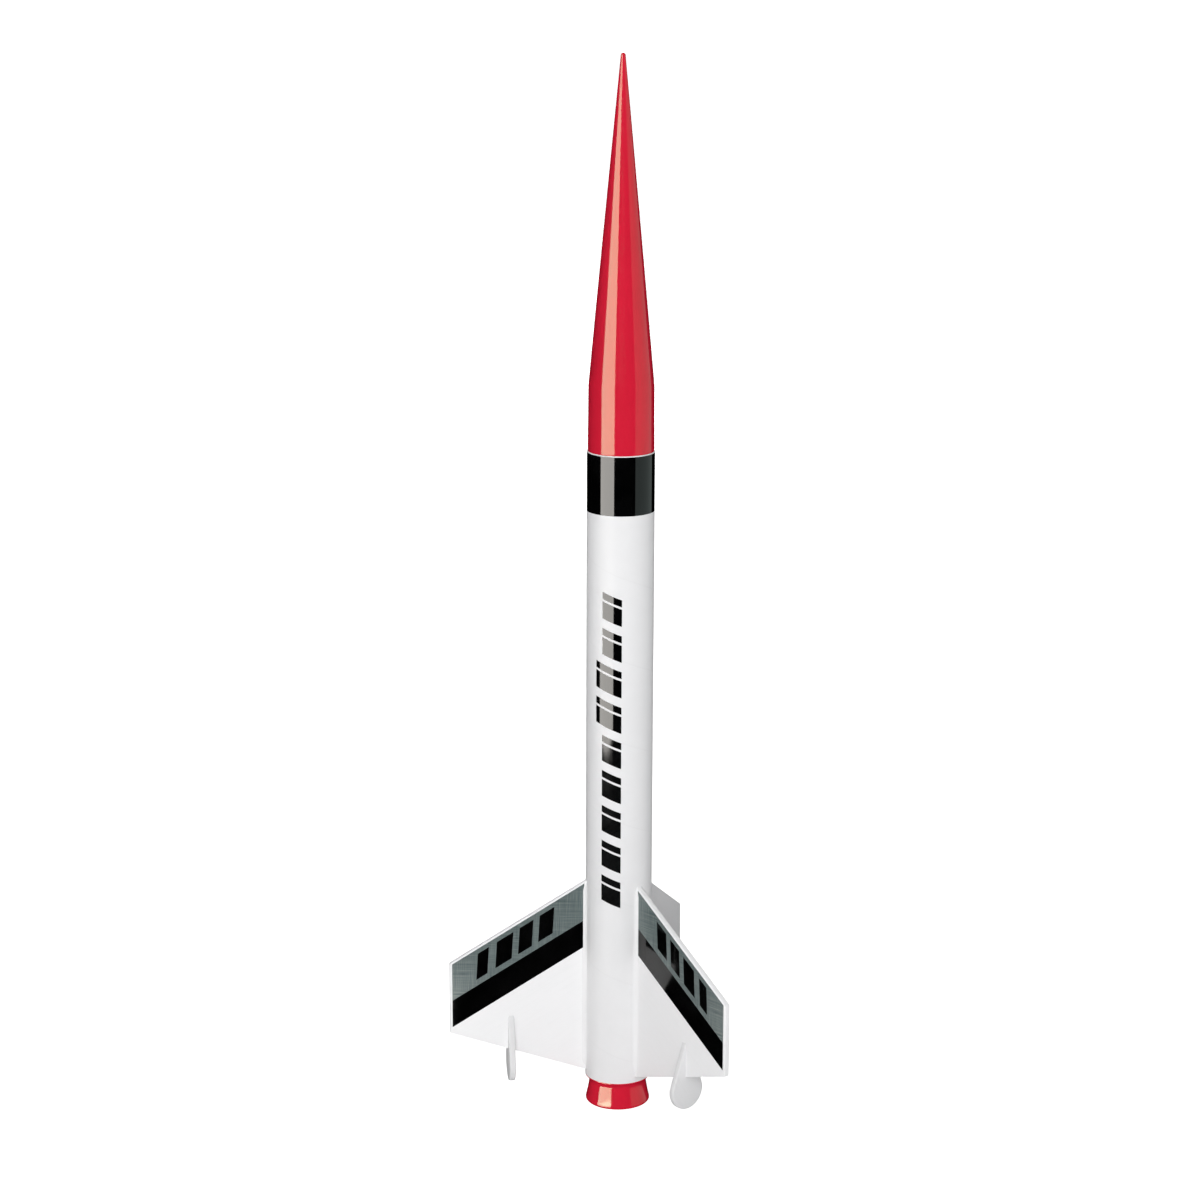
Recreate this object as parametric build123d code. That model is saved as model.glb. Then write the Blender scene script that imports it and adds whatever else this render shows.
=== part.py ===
from build123d import *
import math
import os

# Model rocket, 394 mm tall: a paper body tube with three balsa fins, a hollow plastic nose
# cone that slides out of the tube, a plastic tail cone round an 18 mm motor mount, and the
# recovery gear packed inside.
# Frame: millimetres, +Z along the rocket to the nose tip, origin on the axis in the plane of
# the tail cone's rim. The printed side of the tube faces -Y, midway between two of the fins.

# Body tube: spiral-wound paper
TUBE_OUTER_R = 12.4
TUBE_INNER_R = 12.05
TUBE_AFT_Z = 10.7
TUBE_LENGTH = 241.3
TUBE_FORE_Z = TUBE_AFT_Z + TUBE_LENGTH

# Nose cone: blow-moulded shell with a sliding shoulder
NOSE_TIP_Z = 394.0
NOSE_BALL_R = 0.9
NOSE_BASE_R = 12.2
NOSE_BREAK_R = 12.0
NOSE_BREAK_Z = 276.0
NOSE_MID_Z = 340.0
NOSE_MID_R = 6.0
NOSE_WALL = 1.1
SHOULDER_R = 12.0
SHOULDER_LENGTH = 25.0
SHOULDER_AFT_Z = TUBE_FORE_Z - SHOULDER_LENGTH

# Nose base plug with its moulded loop
PLUG_THICKNESS = 2.0
PLUG_SPIGOT_DEPTH = 4.0
LOOP_OUTER_R = 3.6
LOOP_INNER_R = 2.3
LOOP_WIDTH = 2.4

# Tail cone: throat, flared rim and glued shoulder
TAIL_RIM_R = 12.1
TAIL_RIM_ROUND = 0.5
TAIL_THROAT_R = 10.75
TAIL_THROAT_Z = 8.0
TAIL_BORE_R = 9.45
TAIL_SHOULDER_TOP_Z = 20.0
HOOK_SLOT_WIDTH = 4.4

# Fins: 2.4 mm balsa, given as radius and height of each corner
FIN_THICKNESS = 2.4
FIN_TIP_R = 64.0
FIN_LEAD_ROOT_Z = 88.4
FIN_LEAD_TIP_Z = 57.6
FIN_TRAIL_TIP_Z = 30.1
FIN_TRAIL_ROOT_Z = 12.7
FIN_EDGE_ROUND = 0.5
FIN_DIRECTIONS = {"right": -30.0, "left": 210.0, "rear": 90.0}
FILLET_RADIUS = 1.6

# Winglets: teardrops slotted over the trailing edges
WINGLET_CENTRE_R = 40.9
WINGLET_THICKNESS = 2.4
WINGLET_ROUND_R = 7.2
WINGLET_BOTTOM_Z = 9.8
WINGLET_APEX_Z = 39.5

# Printed decals
DECAL_THICKNESS = 0.06
BAND_BOTTOM_Z = 230.0
BAND_TOP_Z = 251.6
FIN_DECAL_START = 0.5
FIN_DECAL_DEPTH = 25.7
FIN_DECAL_TIP_MARGIN = 0.9
GRAPHIC_BOTTOM_Z = 83.8
GRAPHIC_PAIR_COUNT = 9
GRAPHIC_PAIR_PITCH = 13.5
GRAPHIC_THICK_BAR = 6.4
GRAPHIC_BAR_GAP = 0.9
GRAPHIC_THIN_BAR = 2.6
GRAPHIC_SLANT = -2.8
GRAPHIC_LEFT_X = -2.0
GRAPHIC_WIDE_LEFT_X = -4.6
GRAPHIC_RIGHT_X = 5.2
GRAPHIC_WIDE_PAIRS = (5, 6)

# Launch lug: paper tube for a 1/8 inch rod
LUG_OUTER_R = 2.35
LUG_INNER_R = 2.05
LUG_AFT_Z = 96.0
LUG_LENGTH = 60.0
LUG_BEAD_REACH = 1.7
LUG_BEAD_GAP = 0.15

# Motor mount for 18 x 70 mm motors
MOTOR_TUBE_OUTER_R = 9.35
MOTOR_TUBE_INNER_R = 9.02
MOTOR_TUBE_AFT_Z = 1.6
MOTOR_STOP_Z = 71.0
THRUST_RING_FORE_Z = 77.0
THRUST_RING_INNER_R = 7.6
RING_THICKNESS = 2.5
AFT_RING_Z = 22.5
FORE_RING_Z = 66.0
RETAINER_Z = 44.0
RETAINER_WIDTH = 12.0
RETAINER_THICKNESS = 0.25

# Spring-steel motor hook, on the side away from the print
HOOK_DIRECTION = 150.0
HOOK_WIDTH = 3.4
HOOK_THICKNESS = 0.6
HOOK_FINGER_R = 7.4
HOOK_TIP_Z = 0.3
HOOK_HINGE_Z = 23.7
HOOK_SPLIT_GAP = 0.1
HOOK_RADIUS = MOTOR_TUBE_OUTER_R + HOOK_THICKNESS / 2

# Recovery gear
ANCHOR_Z = 188.0
ANCHOR_HEIGHT = 25.0
ANCHOR_WIDTH_DEG = 62.0
ANCHOR_THICKNESS = 0.9
CORD_COIL_R = 10.05
CORD_COIL_WALL = 0.3
CORD_COIL_BOTTOM_Z = 128.0
CORD_COIL_TOP_Z = 186.0
CORD_WIDTH = 3.2
CORD_THICKNESS = 0.7
CORD_CLEARANCE = 0.15
CANOPY_R = 7.6
CANOPY_BOTTOM_Z = 108.0
CANOPY_TOP_Z = 186.0
LINES_R = 8.9
LINES_BOTTOM_Z = 122.0
LINES_TOP_Z = 172.0
LINES_BUNDLE_R = 1.0

os.makedirs("parts", exist_ok=True)


def save(shape, node):
    """Write one node's solids to its own STEP file."""
    export_step(shape, f"parts/{node}.step")


def ring(outer_r, inner_r, bottom_z, top_z):
    """A plain tube section on the rocket's axis."""
    height = top_z - bottom_z
    low = (Align.CENTER, Align.CENTER, Align.MIN)
    wall = Cylinder(outer_r, height, align=low) - Cylinder(inner_r, height, align=low)
    return Pos(0, 0, bottom_z) * wall


def block(size_x, size_y, bottom_z, top_z, near_x):
    """A box that starts at near_x and runs outwards along +X, centred on the X axis."""
    low = (Align.MIN, Align.CENTER, Align.MIN)
    return Pos(near_x, 0, bottom_z) * Box(size_x, size_y, top_z - bottom_z, align=low)


def revolved(outline):
    """Turn a closed outline in the XZ plane about the rocket's axis."""
    return revolve(make_face(outline), Axis.Z)


def lead_z(radius):
    """Height of a fin's leading edge at a radius."""
    share = (radius - TUBE_OUTER_R) / (FIN_TIP_R - TUBE_OUTER_R)
    return FIN_LEAD_ROOT_Z + share * (FIN_LEAD_TIP_Z - FIN_LEAD_ROOT_Z)


def nose_outline(inset):
    """The nose cone's outer side above the tube, or its inner side at an inset."""
    ball_z = NOSE_TIP_Z - NOSE_BALL_R
    tip = (0, NOSE_TIP_Z - 8 * inset)
    side_top = (max(NOSE_BALL_R - inset, 0.3), ball_z - 8 * inset)
    middle = (NOSE_MID_R - inset, NOSE_MID_Z)
    low = (NOSE_BREAK_R - inset, NOSE_BREAK_Z)
    base = (NOSE_BASE_R - inset, TUBE_FORE_Z)
    return tip, side_top, middle, low, base


def make_nose_cone():
    """Hollow shell: ball tip, slightly bowed cone, short cylinder and sliding shoulder."""
    tip, side_top, middle, low, base = nose_outline(0)
    ball_side = (NOSE_BALL_R * math.sin(math.radians(50)), tip[1] - NOSE_BALL_R * 0.36)
    outer = Curve() + [
        ThreePointArc(tip, ball_side, side_top),
        ThreePointArc(side_top, middle, low),
        Polyline(low, base, (SHOULDER_R, TUBE_FORE_Z), (SHOULDER_R, SHOULDER_AFT_Z)),
        Polyline((SHOULDER_R, SHOULDER_AFT_Z), (0, SHOULDER_AFT_Z), tip),
    ]
    hollow_r = SHOULDER_R - NOSE_WALL
    tip, side_top, middle, low, base = nose_outline(NOSE_WALL)
    inner = Curve() + [
        Line(tip, side_top),
        ThreePointArc(side_top, middle, low),
        Polyline(low, base, (hollow_r, TUBE_FORE_Z - NOSE_WALL), (hollow_r, SHOULDER_AFT_Z)),
        Polyline((hollow_r, SHOULDER_AFT_Z), (0, SHOULDER_AFT_Z), tip),
    ]
    return revolved(Plane.XZ * outer) - revolved(Plane.XZ * inner)


def make_nose_plug():
    """Disc and spigot that close the shoulder, with a loop below for the cords."""
    low = (Align.CENTER, Align.CENTER, Align.MIN)
    disc = Pos(0, 0, SHOULDER_AFT_Z - PLUG_THICKNESS) * Cylinder(SHOULDER_R, PLUG_THICKNESS, align=low)
    spigot = ring(SHOULDER_R - NOSE_WALL, SHOULDER_R - 2 * NOSE_WALL,
                  SHOULDER_AFT_Z, SHOULDER_AFT_Z + PLUG_SPIGOT_DEPTH)
    loop_z = SHOULDER_AFT_Z - PLUG_THICKNESS - LOOP_INNER_R
    loop = Rot(90, 0, 0) * (Cylinder(LOOP_OUTER_R, LOOP_WIDTH) - Cylinder(LOOP_INNER_R, LOOP_WIDTH))
    loop = Pos(0, 0, loop_z) * loop
    return disc + spigot + loop


def make_tail_cone():
    """Flared plastic nozzle with a glued shoulder and a slot for the motor hook."""
    rim_z = TAIL_RIM_ROUND
    flare = ThreePointArc(
        (TAIL_THROAT_R, TAIL_THROAT_Z),
        (TAIL_THROAT_R + 0.6, 0.55 * TAIL_THROAT_Z),
        (TAIL_RIM_R, rim_z + 0.5))
    rim = ThreePointArc(
        (TAIL_RIM_R, rim_z + 0.5),
        (TAIL_RIM_R - 0.13, 0.35),
        (TAIL_RIM_R - TAIL_RIM_ROUND, 0))
    taper = ThreePointArc(
        (TAIL_THROAT_R, TAIL_THROAT_Z),
        (TAIL_THROAT_R + 0.4, TAIL_THROAT_Z + 1.5),
        (TUBE_OUTER_R - 0.1, TUBE_AFT_Z - 0.4))
    outline = Curve() + [
        flare,
        rim,
        Line((TAIL_RIM_R - TAIL_RIM_ROUND, 0), (TAIL_BORE_R, 0)),
        Line((TAIL_BORE_R, 0), (TAIL_BORE_R, TAIL_SHOULDER_TOP_Z)),
        Line((TAIL_BORE_R, TAIL_SHOULDER_TOP_Z), (TUBE_INNER_R, TAIL_SHOULDER_TOP_Z)),
        Line((TUBE_INNER_R, TAIL_SHOULDER_TOP_Z), (TUBE_INNER_R, TUBE_AFT_Z)),
        Line((TUBE_INNER_R, TUBE_AFT_Z), (TUBE_OUTER_R - 0.1, TUBE_AFT_Z)),
        Line((TUBE_OUTER_R - 0.1, TUBE_AFT_Z), (TUBE_OUTER_R - 0.1, TUBE_AFT_Z - 0.4)),
        taper,
    ]
    slot = block(TAIL_RIM_R, HOOK_SLOT_WIDTH, -1, TAIL_SHOULDER_TOP_Z + 1, TAIL_BORE_R - 1)
    return revolved(Plane.XZ * outline) - Rot(0, 0, HOOK_DIRECTION) * slot


def fin_blank():
    """One fin along +X, its root cut to the tube's round side, its free edges rounded."""
    root_r = TUBE_OUTER_R - 1
    corners = [
        (root_r, FIN_TRAIL_ROOT_Z),
        (FIN_TIP_R, FIN_TRAIL_TIP_Z),
        (FIN_TIP_R, FIN_LEAD_TIP_Z),
        (root_r, FIN_LEAD_ROOT_Z),
    ]
    panel = extrude(Plane.XZ * Polygon(*corners, align=None), FIN_THICKNESS / 2, both=True)
    tip_edges = panel.edges().filter_by(Axis.Z).filter_by(lambda edge: edge.center().X > FIN_TIP_R - 1)
    lead_edges = panel.edges().filter_by(
        lambda edge: edge.center().Z > lead_z(edge.center().X) - 0.5 and edge.length > FIN_THICKNESS * 2)
    panel = fillet(tip_edges + lead_edges, FIN_EDGE_ROUND)
    return panel - ring(TUBE_OUTER_R, 1, 0, TUBE_FORE_Z)


def winglet_blank():
    """One teardrop across the fin that lies along +X, before its slot is cut."""
    centre_z = WINGLET_BOTTOM_Z + WINGLET_ROUND_R
    reach = WINGLET_APEX_Z - centre_z
    turn = math.acos(WINGLET_ROUND_R / reach)
    side_y = WINGLET_ROUND_R * math.sin(turn)
    side_z = centre_z + WINGLET_ROUND_R * math.cos(turn)
    outline = Curve() + [
        ThreePointArc((-side_y, side_z), (0, WINGLET_BOTTOM_Z), (side_y, side_z)),
        Line((side_y, side_z), (0, WINGLET_APEX_Z)),
        Line((0, WINGLET_APEX_Z), (-side_y, side_z)),
    ]
    drop = extrude(Plane.YZ * make_face(outline), WINGLET_THICKNESS / 2, both=True)
    return Pos(WINGLET_CENTRE_R, 0, 0) * drop


def fillet_pair():
    """The two glue fillets along the root of the fin that lies along +X."""
    touch_x = math.sqrt(TUBE_OUTER_R ** 2 - (FIN_THICKNESS / 2) ** 2)
    side = FIN_THICKNESS / 2
    height = FIN_LEAD_ROOT_Z - FIN_TRAIL_ROOT_Z - 3
    reach = FILLET_RADIUS
    corner = (touch_x - 0.3, side)
    outline = Curve() + [
        Line(corner, (touch_x + reach, side)),
        ThreePointArc((touch_x + reach, side), (touch_x + 0.25 * reach, side + 0.3 * reach),
                      (touch_x - 0.35, side + reach)),
        Line((touch_x - 0.35, side + reach), corner),
    ]
    bead = extrude(make_face(outline), height)
    bead = Pos(0, 0, FIN_TRAIL_ROOT_Z + 2) * bead
    bead = bead - ring(TUBE_OUTER_R, 1, 0, TUBE_FORE_Z)
    return [bead, mirror(bead, about=Plane.XZ)]


def fin_decal():
    """Printed sheet on the -Y face of the fin that lies along +X, below its leading edge."""
    inner_r = TUBE_OUTER_R + FILLET_RADIUS * 0.5
    outer_r = FIN_TIP_R - FIN_DECAL_TIP_MARGIN
    corners = [
        (inner_r, lead_z(inner_r) - FIN_DECAL_DEPTH),
        (outer_r, lead_z(outer_r) - FIN_DECAL_DEPTH),
        (outer_r, lead_z(outer_r) - FIN_DECAL_START - FIN_EDGE_ROUND),
        (inner_r, lead_z(inner_r) - FIN_DECAL_START - FIN_EDGE_ROUND),
    ]
    face = Plane.XZ.offset(FIN_THICKNESS / 2) * Polygon(*corners, align=None)
    sheet = extrude(face, DECAL_THICKNESS)
    beads = fillet_pair()
    return sheet - beads[1]


def graphic_bars():
    """Left edge, lowest height and width along Z of each slanted bar, in pairs up the tube."""
    bars = []
    for number in range(GRAPHIC_PAIR_COUNT):
        left = GRAPHIC_WIDE_LEFT_X if number in GRAPHIC_WIDE_PAIRS else GRAPHIC_LEFT_X
        low = GRAPHIC_BOTTOM_Z + number * GRAPHIC_PAIR_PITCH
        bars.append((left, low, GRAPHIC_THICK_BAR))
        bars.append((left, low + GRAPHIC_THICK_BAR + GRAPHIC_BAR_GAP, GRAPHIC_THIN_BAR))
    return bars


def make_graphic():
    """A run of slanted bars up the printed side of the tube."""
    skin = ring(TUBE_OUTER_R + DECAL_THICKNESS, TUBE_OUTER_R, 0, TUBE_FORE_Z)
    slope = GRAPHIC_SLANT / (GRAPHIC_RIGHT_X - GRAPHIC_LEFT_X)
    bars = []
    for left, low, height in graphic_bars():
        left_z = low + slope * (left - GRAPHIC_LEFT_X)
        right_z = low + GRAPHIC_SLANT
        corners = [
            (left, left_z),
            (GRAPHIC_RIGHT_X, right_z),
            (GRAPHIC_RIGHT_X, right_z + height),
            (left, left_z + height),
        ]
        prism = extrude(Plane.XZ * Polygon(*corners, align=None), TUBE_OUTER_R + 1)
        bars.append((skin & prism).solid())
    return Compound(children=bars)


def make_lug():
    """Launch lug lying along the outside of the tube."""
    distance = TUBE_OUTER_R + LUG_OUTER_R
    lug = Pos(distance, 0, 0) * ring(LUG_OUTER_R, LUG_INNER_R, LUG_AFT_Z, LUG_AFT_Z + LUG_LENGTH)
    return Rot(0, 0, HOOK_DIRECTION) * lug


def lug_beads():
    """The glue lines that fill the two corners between the launch lug and the tube."""
    top_z = LUG_AFT_Z + LUG_LENGTH
    filled = Pos(TUBE_OUTER_R + LUG_OUTER_R, 0, 0) * ring(LUG_OUTER_R, LUG_INNER_R / 2, LUG_AFT_Z, top_z)
    beads = []
    for sign in (1, -1):
        width = LUG_BEAD_REACH - LUG_BEAD_GAP
        bead = block(1.5, width, LUG_AFT_Z, top_z, TUBE_OUTER_R - 0.4)
        bead = Pos(0, sign * (LUG_BEAD_GAP + width / 2), 0) * bead
        bead = bead - filled - ring(TUBE_OUTER_R, 1, 0, TUBE_FORE_Z)
        beads.append(Rot(0, 0, HOOK_DIRECTION) * bead)
    return beads


def make_thrust_ring():
    """Ring glued on the motor tube's forward end, notched over the hook's upper bend."""
    stop = ring(MOTOR_TUBE_OUTER_R, THRUST_RING_INNER_R, MOTOR_STOP_Z, THRUST_RING_FORE_Z)
    notch = block(MOTOR_TUBE_OUTER_R, HOOK_WIDTH, MOTOR_STOP_Z - 1, MOTOR_STOP_Z + HOOK_THICKNESS,
                  THRUST_RING_INNER_R - 1)
    return stop - Rot(0, 0, HOOK_DIRECTION) * notch


def centring_ring(bottom_z):
    """Card ring between the motor tube and the body tube, notched for the hook."""
    disc = ring(TUBE_INNER_R, MOTOR_TUBE_OUTER_R, bottom_z, bottom_z + RING_THICKNESS)
    notch = block(HOOK_THICKNESS + 0.4, HOOK_WIDTH + 0.6, bottom_z - 1, bottom_z + RING_THICKNESS + 1,
                  MOTOR_TUBE_OUTER_R - 0.2)
    return disc - Rot(0, 0, HOOK_DIRECTION) * notch


def make_retainer():
    """Plastic band that clamps the hook's middle against the motor tube."""
    top_z = RETAINER_Z + RETAINER_WIDTH
    inner_r = HOOK_RADIUS + HOOK_THICKNESS / 2 + 0.15
    return ring(inner_r + RETAINER_THICKNESS, inner_r, RETAINER_Z, top_z)


def make_hook_shank():
    """Fixed upper run of the hook, with the bend that stops the motor going forward."""
    strip = block(HOOK_THICKNESS, HOOK_WIDTH, HOOK_HINGE_Z, MOTOR_STOP_Z + HOOK_THICKNESS,
                  MOTOR_TUBE_OUTER_R)
    bend = block(MOTOR_TUBE_OUTER_R - THRUST_RING_INNER_R, HOOK_WIDTH, MOTOR_STOP_Z,
                 MOTOR_STOP_Z + HOOK_THICKNESS, THRUST_RING_INNER_R)
    return Rot(0, 0, HOOK_DIRECTION) * (strip + bend)


def make_hook_tip():
    """Springy lower run of the hook, with the finger that holds the motor in."""
    strip = block(HOOK_THICKNESS, HOOK_WIDTH, HOOK_TIP_Z, HOOK_HINGE_Z - HOOK_SPLIT_GAP,
                  MOTOR_TUBE_OUTER_R)
    finger = block(MOTOR_TUBE_OUTER_R - HOOK_FINGER_R, HOOK_WIDTH, HOOK_TIP_Z,
                   HOOK_TIP_Z + HOOK_THICKNESS, HOOK_FINGER_R)
    return Rot(0, 0, HOOK_DIRECTION) * (strip + finger)


def make_anchor():
    """Folded paper tab glued to the inside of the tube; it holds the shock cord's end."""
    outer_r = TUBE_INNER_R
    tab = ring(outer_r, outer_r - ANCHOR_THICKNESS, ANCHOR_Z, ANCHOR_Z + ANCHOR_HEIGHT)
    half = math.radians(ANCHOR_WIDTH_DEG / 2)
    reach = 2 * TUBE_INNER_R
    wedge = Polygon((0, 0), (reach * math.cos(half), -reach * math.sin(half)),
                    (reach * math.cos(half), reach * math.sin(half)), align=None)
    wedge = Pos(0, 0, ANCHOR_Z) * extrude(wedge, ANCHOR_HEIGHT)
    return tab & wedge


def make_shock_cord():
    """Coiled elastic cord: its coil as a thin sleeve, its lead to the anchor and its free end."""
    coil = ring(CORD_COIL_R + CORD_COIL_WALL / 2, CORD_COIL_R - CORD_COIL_WALL / 2,
                CORD_COIL_BOTTOM_Z, CORD_COIL_TOP_Z)
    lead_r = TUBE_INNER_R - ANCHOR_THICKNESS - CORD_THICKNESS
    lead = block(CORD_THICKNESS, CORD_WIDTH, CORD_COIL_BOTTOM_Z, ANCHOR_Z + 12, lead_r - CORD_CLEARANCE)
    return Compound(children=[coil.solid(), lead])


def make_canopy():
    """Rolled parachute canopy as one plain bundle with rounded ends."""
    low = (Align.CENTER, Align.CENTER, Align.MIN)
    roll = Cylinder(CANOPY_R, CANOPY_TOP_Z - CANOPY_BOTTOM_Z, align=low)
    roll = fillet(roll.edges().filter_by(GeomType.CIRCLE), 3.0)
    return Pos(0, 0, CANOPY_BOTTOM_Z) * roll


def make_lines():
    """Shroud lines wound round the canopy, as a thin sleeve, and their run up to the loop."""
    sleeve = ring(LINES_R, CANOPY_R, LINES_BOTTOM_Z, LINES_TOP_Z)
    low = (Align.CENTER, Align.CENTER, Align.MIN)
    loop_bottom_z = SHOULDER_AFT_Z - PLUG_THICKNESS - LOOP_INNER_R - LOOP_OUTER_R
    run = Pos(0, 0, CANOPY_TOP_Z) * Cylinder(LINES_BUNDLE_R, loop_bottom_z - CANOPY_TOP_Z, align=low)
    return Compound(children=[sleeve.solid(), run])


save(ring(TUBE_OUTER_R, TUBE_INNER_R, TUBE_AFT_Z, TUBE_FORE_Z), "body_tube")
save(ring(TUBE_OUTER_R + DECAL_THICKNESS, TUBE_OUTER_R, BAND_BOTTOM_Z, BAND_TOP_Z), "band_decal")
save(make_graphic(), "tube_graphic")
save(make_nose_cone(), "nose_cone")
save(make_nose_plug(), "nose_base_plug")
save(make_tail_cone(), "tail_cone")

fin = fin_blank()
winglet = winglet_blank() - fin
beads = lug_beads()
for side, direction in FIN_DIRECTIONS.items():
    turned = Rot(0, 0, direction)
    save(turned * fin, f"fin_{side}")
    save(turned * winglet, f"winglet_{side}")
    beads += [turned * bead for bead in fillet_pair()]
save(Compound(children=[bead.solid() for bead in beads]), "glue_fillets")

sheet = fin_decal()
save(Rot(0, 0, FIN_DIRECTIONS["right"]) * sheet, "fin_decal_right")
save(Rot(0, 0, FIN_DIRECTIONS["left"]) * mirror(sheet, about=Plane.XZ), "fin_decal_left")

save(make_lug(), "launch_lug")
save(ring(MOTOR_TUBE_OUTER_R, MOTOR_TUBE_INNER_R, MOTOR_TUBE_AFT_Z, MOTOR_STOP_Z), "motor_tube")
save(centring_ring(AFT_RING_Z), "centring_ring_aft")
save(centring_ring(FORE_RING_Z), "centring_ring_fore")
save(make_thrust_ring(), "thrust_ring")
save(make_retainer(), "hook_retainer")
save(make_hook_shank(), "hook_shank")
save(make_hook_tip(), "hook_tip")
save(make_anchor(), "shock_cord_anchor")
save(make_shock_cord(), "shock_cord")
save(make_canopy(), "parachute_canopy")
save(make_lines(), "shroud_lines")
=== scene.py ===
import math

import bmesh
import bpy
from mathutils import Matrix, Vector


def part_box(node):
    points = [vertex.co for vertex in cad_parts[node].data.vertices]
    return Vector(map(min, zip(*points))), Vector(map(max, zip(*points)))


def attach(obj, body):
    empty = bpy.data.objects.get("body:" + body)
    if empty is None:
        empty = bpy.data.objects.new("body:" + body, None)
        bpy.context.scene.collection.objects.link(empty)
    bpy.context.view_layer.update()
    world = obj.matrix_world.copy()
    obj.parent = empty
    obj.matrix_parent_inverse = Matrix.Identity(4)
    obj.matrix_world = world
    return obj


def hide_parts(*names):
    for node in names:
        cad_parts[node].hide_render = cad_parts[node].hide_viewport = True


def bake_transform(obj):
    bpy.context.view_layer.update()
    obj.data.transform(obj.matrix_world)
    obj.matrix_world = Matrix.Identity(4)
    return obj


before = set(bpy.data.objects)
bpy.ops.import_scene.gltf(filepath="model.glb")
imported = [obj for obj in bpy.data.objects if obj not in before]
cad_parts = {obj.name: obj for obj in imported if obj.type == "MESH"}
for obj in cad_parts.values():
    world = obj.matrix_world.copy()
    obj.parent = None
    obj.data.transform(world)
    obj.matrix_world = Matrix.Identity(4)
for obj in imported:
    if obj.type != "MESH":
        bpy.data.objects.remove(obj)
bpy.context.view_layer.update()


# --- Motor tube ------------------------------------------------------------------------------
# A spiral-wound kraft paper tube that the motor slides into. It is cut to length, left
# unpainted, and glued into the rings and the tail cone.
MM = 0.001
MOTOR_TUBE_INNER = 9.02
MOTOR_TUBE_OUTER = 9.35


def span(node):
    """The lowest and highest z of a CAD node, in mm."""
    low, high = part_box(node)
    return low.z / MM, high.z / MM


def hold(action="SELECT"):
    """Selects all of the mesh in hand, or lets it all go."""
    bpy.ops.mesh.select_all(action=action)


def leave_mesh():
    """Leaves edit mode."""
    bpy.ops.object.mode_set(mode="OBJECT")


def take_up(piece):
    """Selects one piece and nothing else."""
    bpy.ops.object.select_all(action="DESELECT")
    piece.select_set(True)
    bpy.context.view_layer.objects.active = piece


def draw_line(name, points):
    """Draws a line of edges through points in mm, vertex by vertex, and stays in edit mode."""
    bpy.ops.object.select_all(action="DESELECT")
    bpy.ops.mesh.primitive_plane_add(size=MM)
    piece = bpy.context.object
    piece.name = name
    bpy.ops.object.mode_set(mode="EDIT")
    bpy.ops.mesh.select_mode(type="VERT")
    hold()
    bpy.ops.mesh.merge(type="CENTER")
    here = Vector((0.0, 0.0, 0.0))
    for number, point in enumerate(points):
        if number:
            bpy.ops.mesh.extrude_verts_indiv()
        step = Vector(point) * MM - here
        bpy.ops.transform.translate(value=step)
        here += step
    return piece


def close_skin():
    """Joins the seams and poles of the mesh in hand and turns its faces outwards."""
    hold()
    bpy.ops.mesh.remove_doubles(threshold=0.002 * MM)
    bpy.ops.mesh.normals_make_consistent(inside=False)
    leave_mesh()


def turn_on_lathe(name, outline, steps=96):
    """Turns an outline of (radius, height) points about the rocket's axis. It closes on itself,
    unless it starts on the axis."""
    closing = [] if outline[0][0] == 0 else outline[:1]
    piece = draw_line(name, [(radius, 0, height) for radius, height in outline + closing])
    hold()
    bpy.ops.mesh.spin(steps=steps, angle=2 * math.pi, center=(0, 0, 0), axis=(0, 0, 1))
    close_skin()
    return piece


def turn_ring(name, inner, outer, bottom, top, steps=96):
    """Turns a plain ring or tube."""
    corners = [(inner, bottom), (outer, bottom), (outer, top), (inner, top)]
    return turn_on_lathe(name, corners, steps)


def keep_shape(piece):
    """Applies a piece's modifiers."""
    take_up(piece)
    for modifier in list(piece.modifiers):
        bpy.ops.object.modifier_apply(modifier=modifier.name)


def soften_edges(piece, width, segments=2):
    """Rounds a piece's sharp edges."""
    bevel = piece.modifiers.new("softened", "BEVEL")
    bevel.width = width * MM
    bevel.segments = segments
    bevel.limit_method = "ANGLE"
    bevel.angle_limit = math.radians(40)
    keep_shape(piece)


def cover(piece, *finishes):
    """Gives a piece its finishes."""
    piece.data.materials.clear()
    for finish in finishes:
        piece.data.materials.append(finish)


def fix_place(piece):
    """Puts a piece's place and turn into its mesh."""
    take_up(piece)
    bpy.ops.object.transform_apply(location=True, rotation=True, scale=True)


def settle(piece, smooth=32):
    """Fixes a piece's place and smooths it, but for edges sharper than an angle in degrees."""
    fix_place(piece)
    bpy.ops.object.shade_smooth_by_angle(angle=math.radians(smooth))


def place_piece(piece, body, slot, *nodes, smooth=32):
    """Settles a finished piece and fits it to its CAD body and nodes."""
    settle(piece, smooth)
    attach(piece, body)
    if nodes:
        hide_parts(*nodes)


def put_node(tree, kind, feeds, **settings):
    """Adds a shader node. Each feed is a plain value, or another node's output."""
    made = tree.nodes.new("ShaderNode" + kind)
    for name, value in settings.items():
        setattr(made, name, value)
    for socket, feed in feeds.items():
        if isinstance(feed, bpy.types.NodeSocket):
            tree.links.new(feed, made.inputs[socket])
        else:
            made.inputs[socket].default_value = feed
    return made


def sum_up(tree, operation, *values):
    """One Math node's result."""
    return put_node(tree, "Math", dict(enumerate(values)), operation=operation).outputs[0]


def tint(tree, share, low, high):
    """A colour that runs from low to high as share goes from 0 to 1."""
    blend = put_node(tree, "Mix", {0: share, 6: (*low, 1), 7: (*high, 1)}, data_type="RGBA")
    return blend.outputs[2]


def scaled(tree, value, low, high):
    """A value of 0 to 1 stretched to run from low to high."""
    return put_node(tree, "MapRange", {0: value, 3: low, 4: high}).outputs[0]


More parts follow.
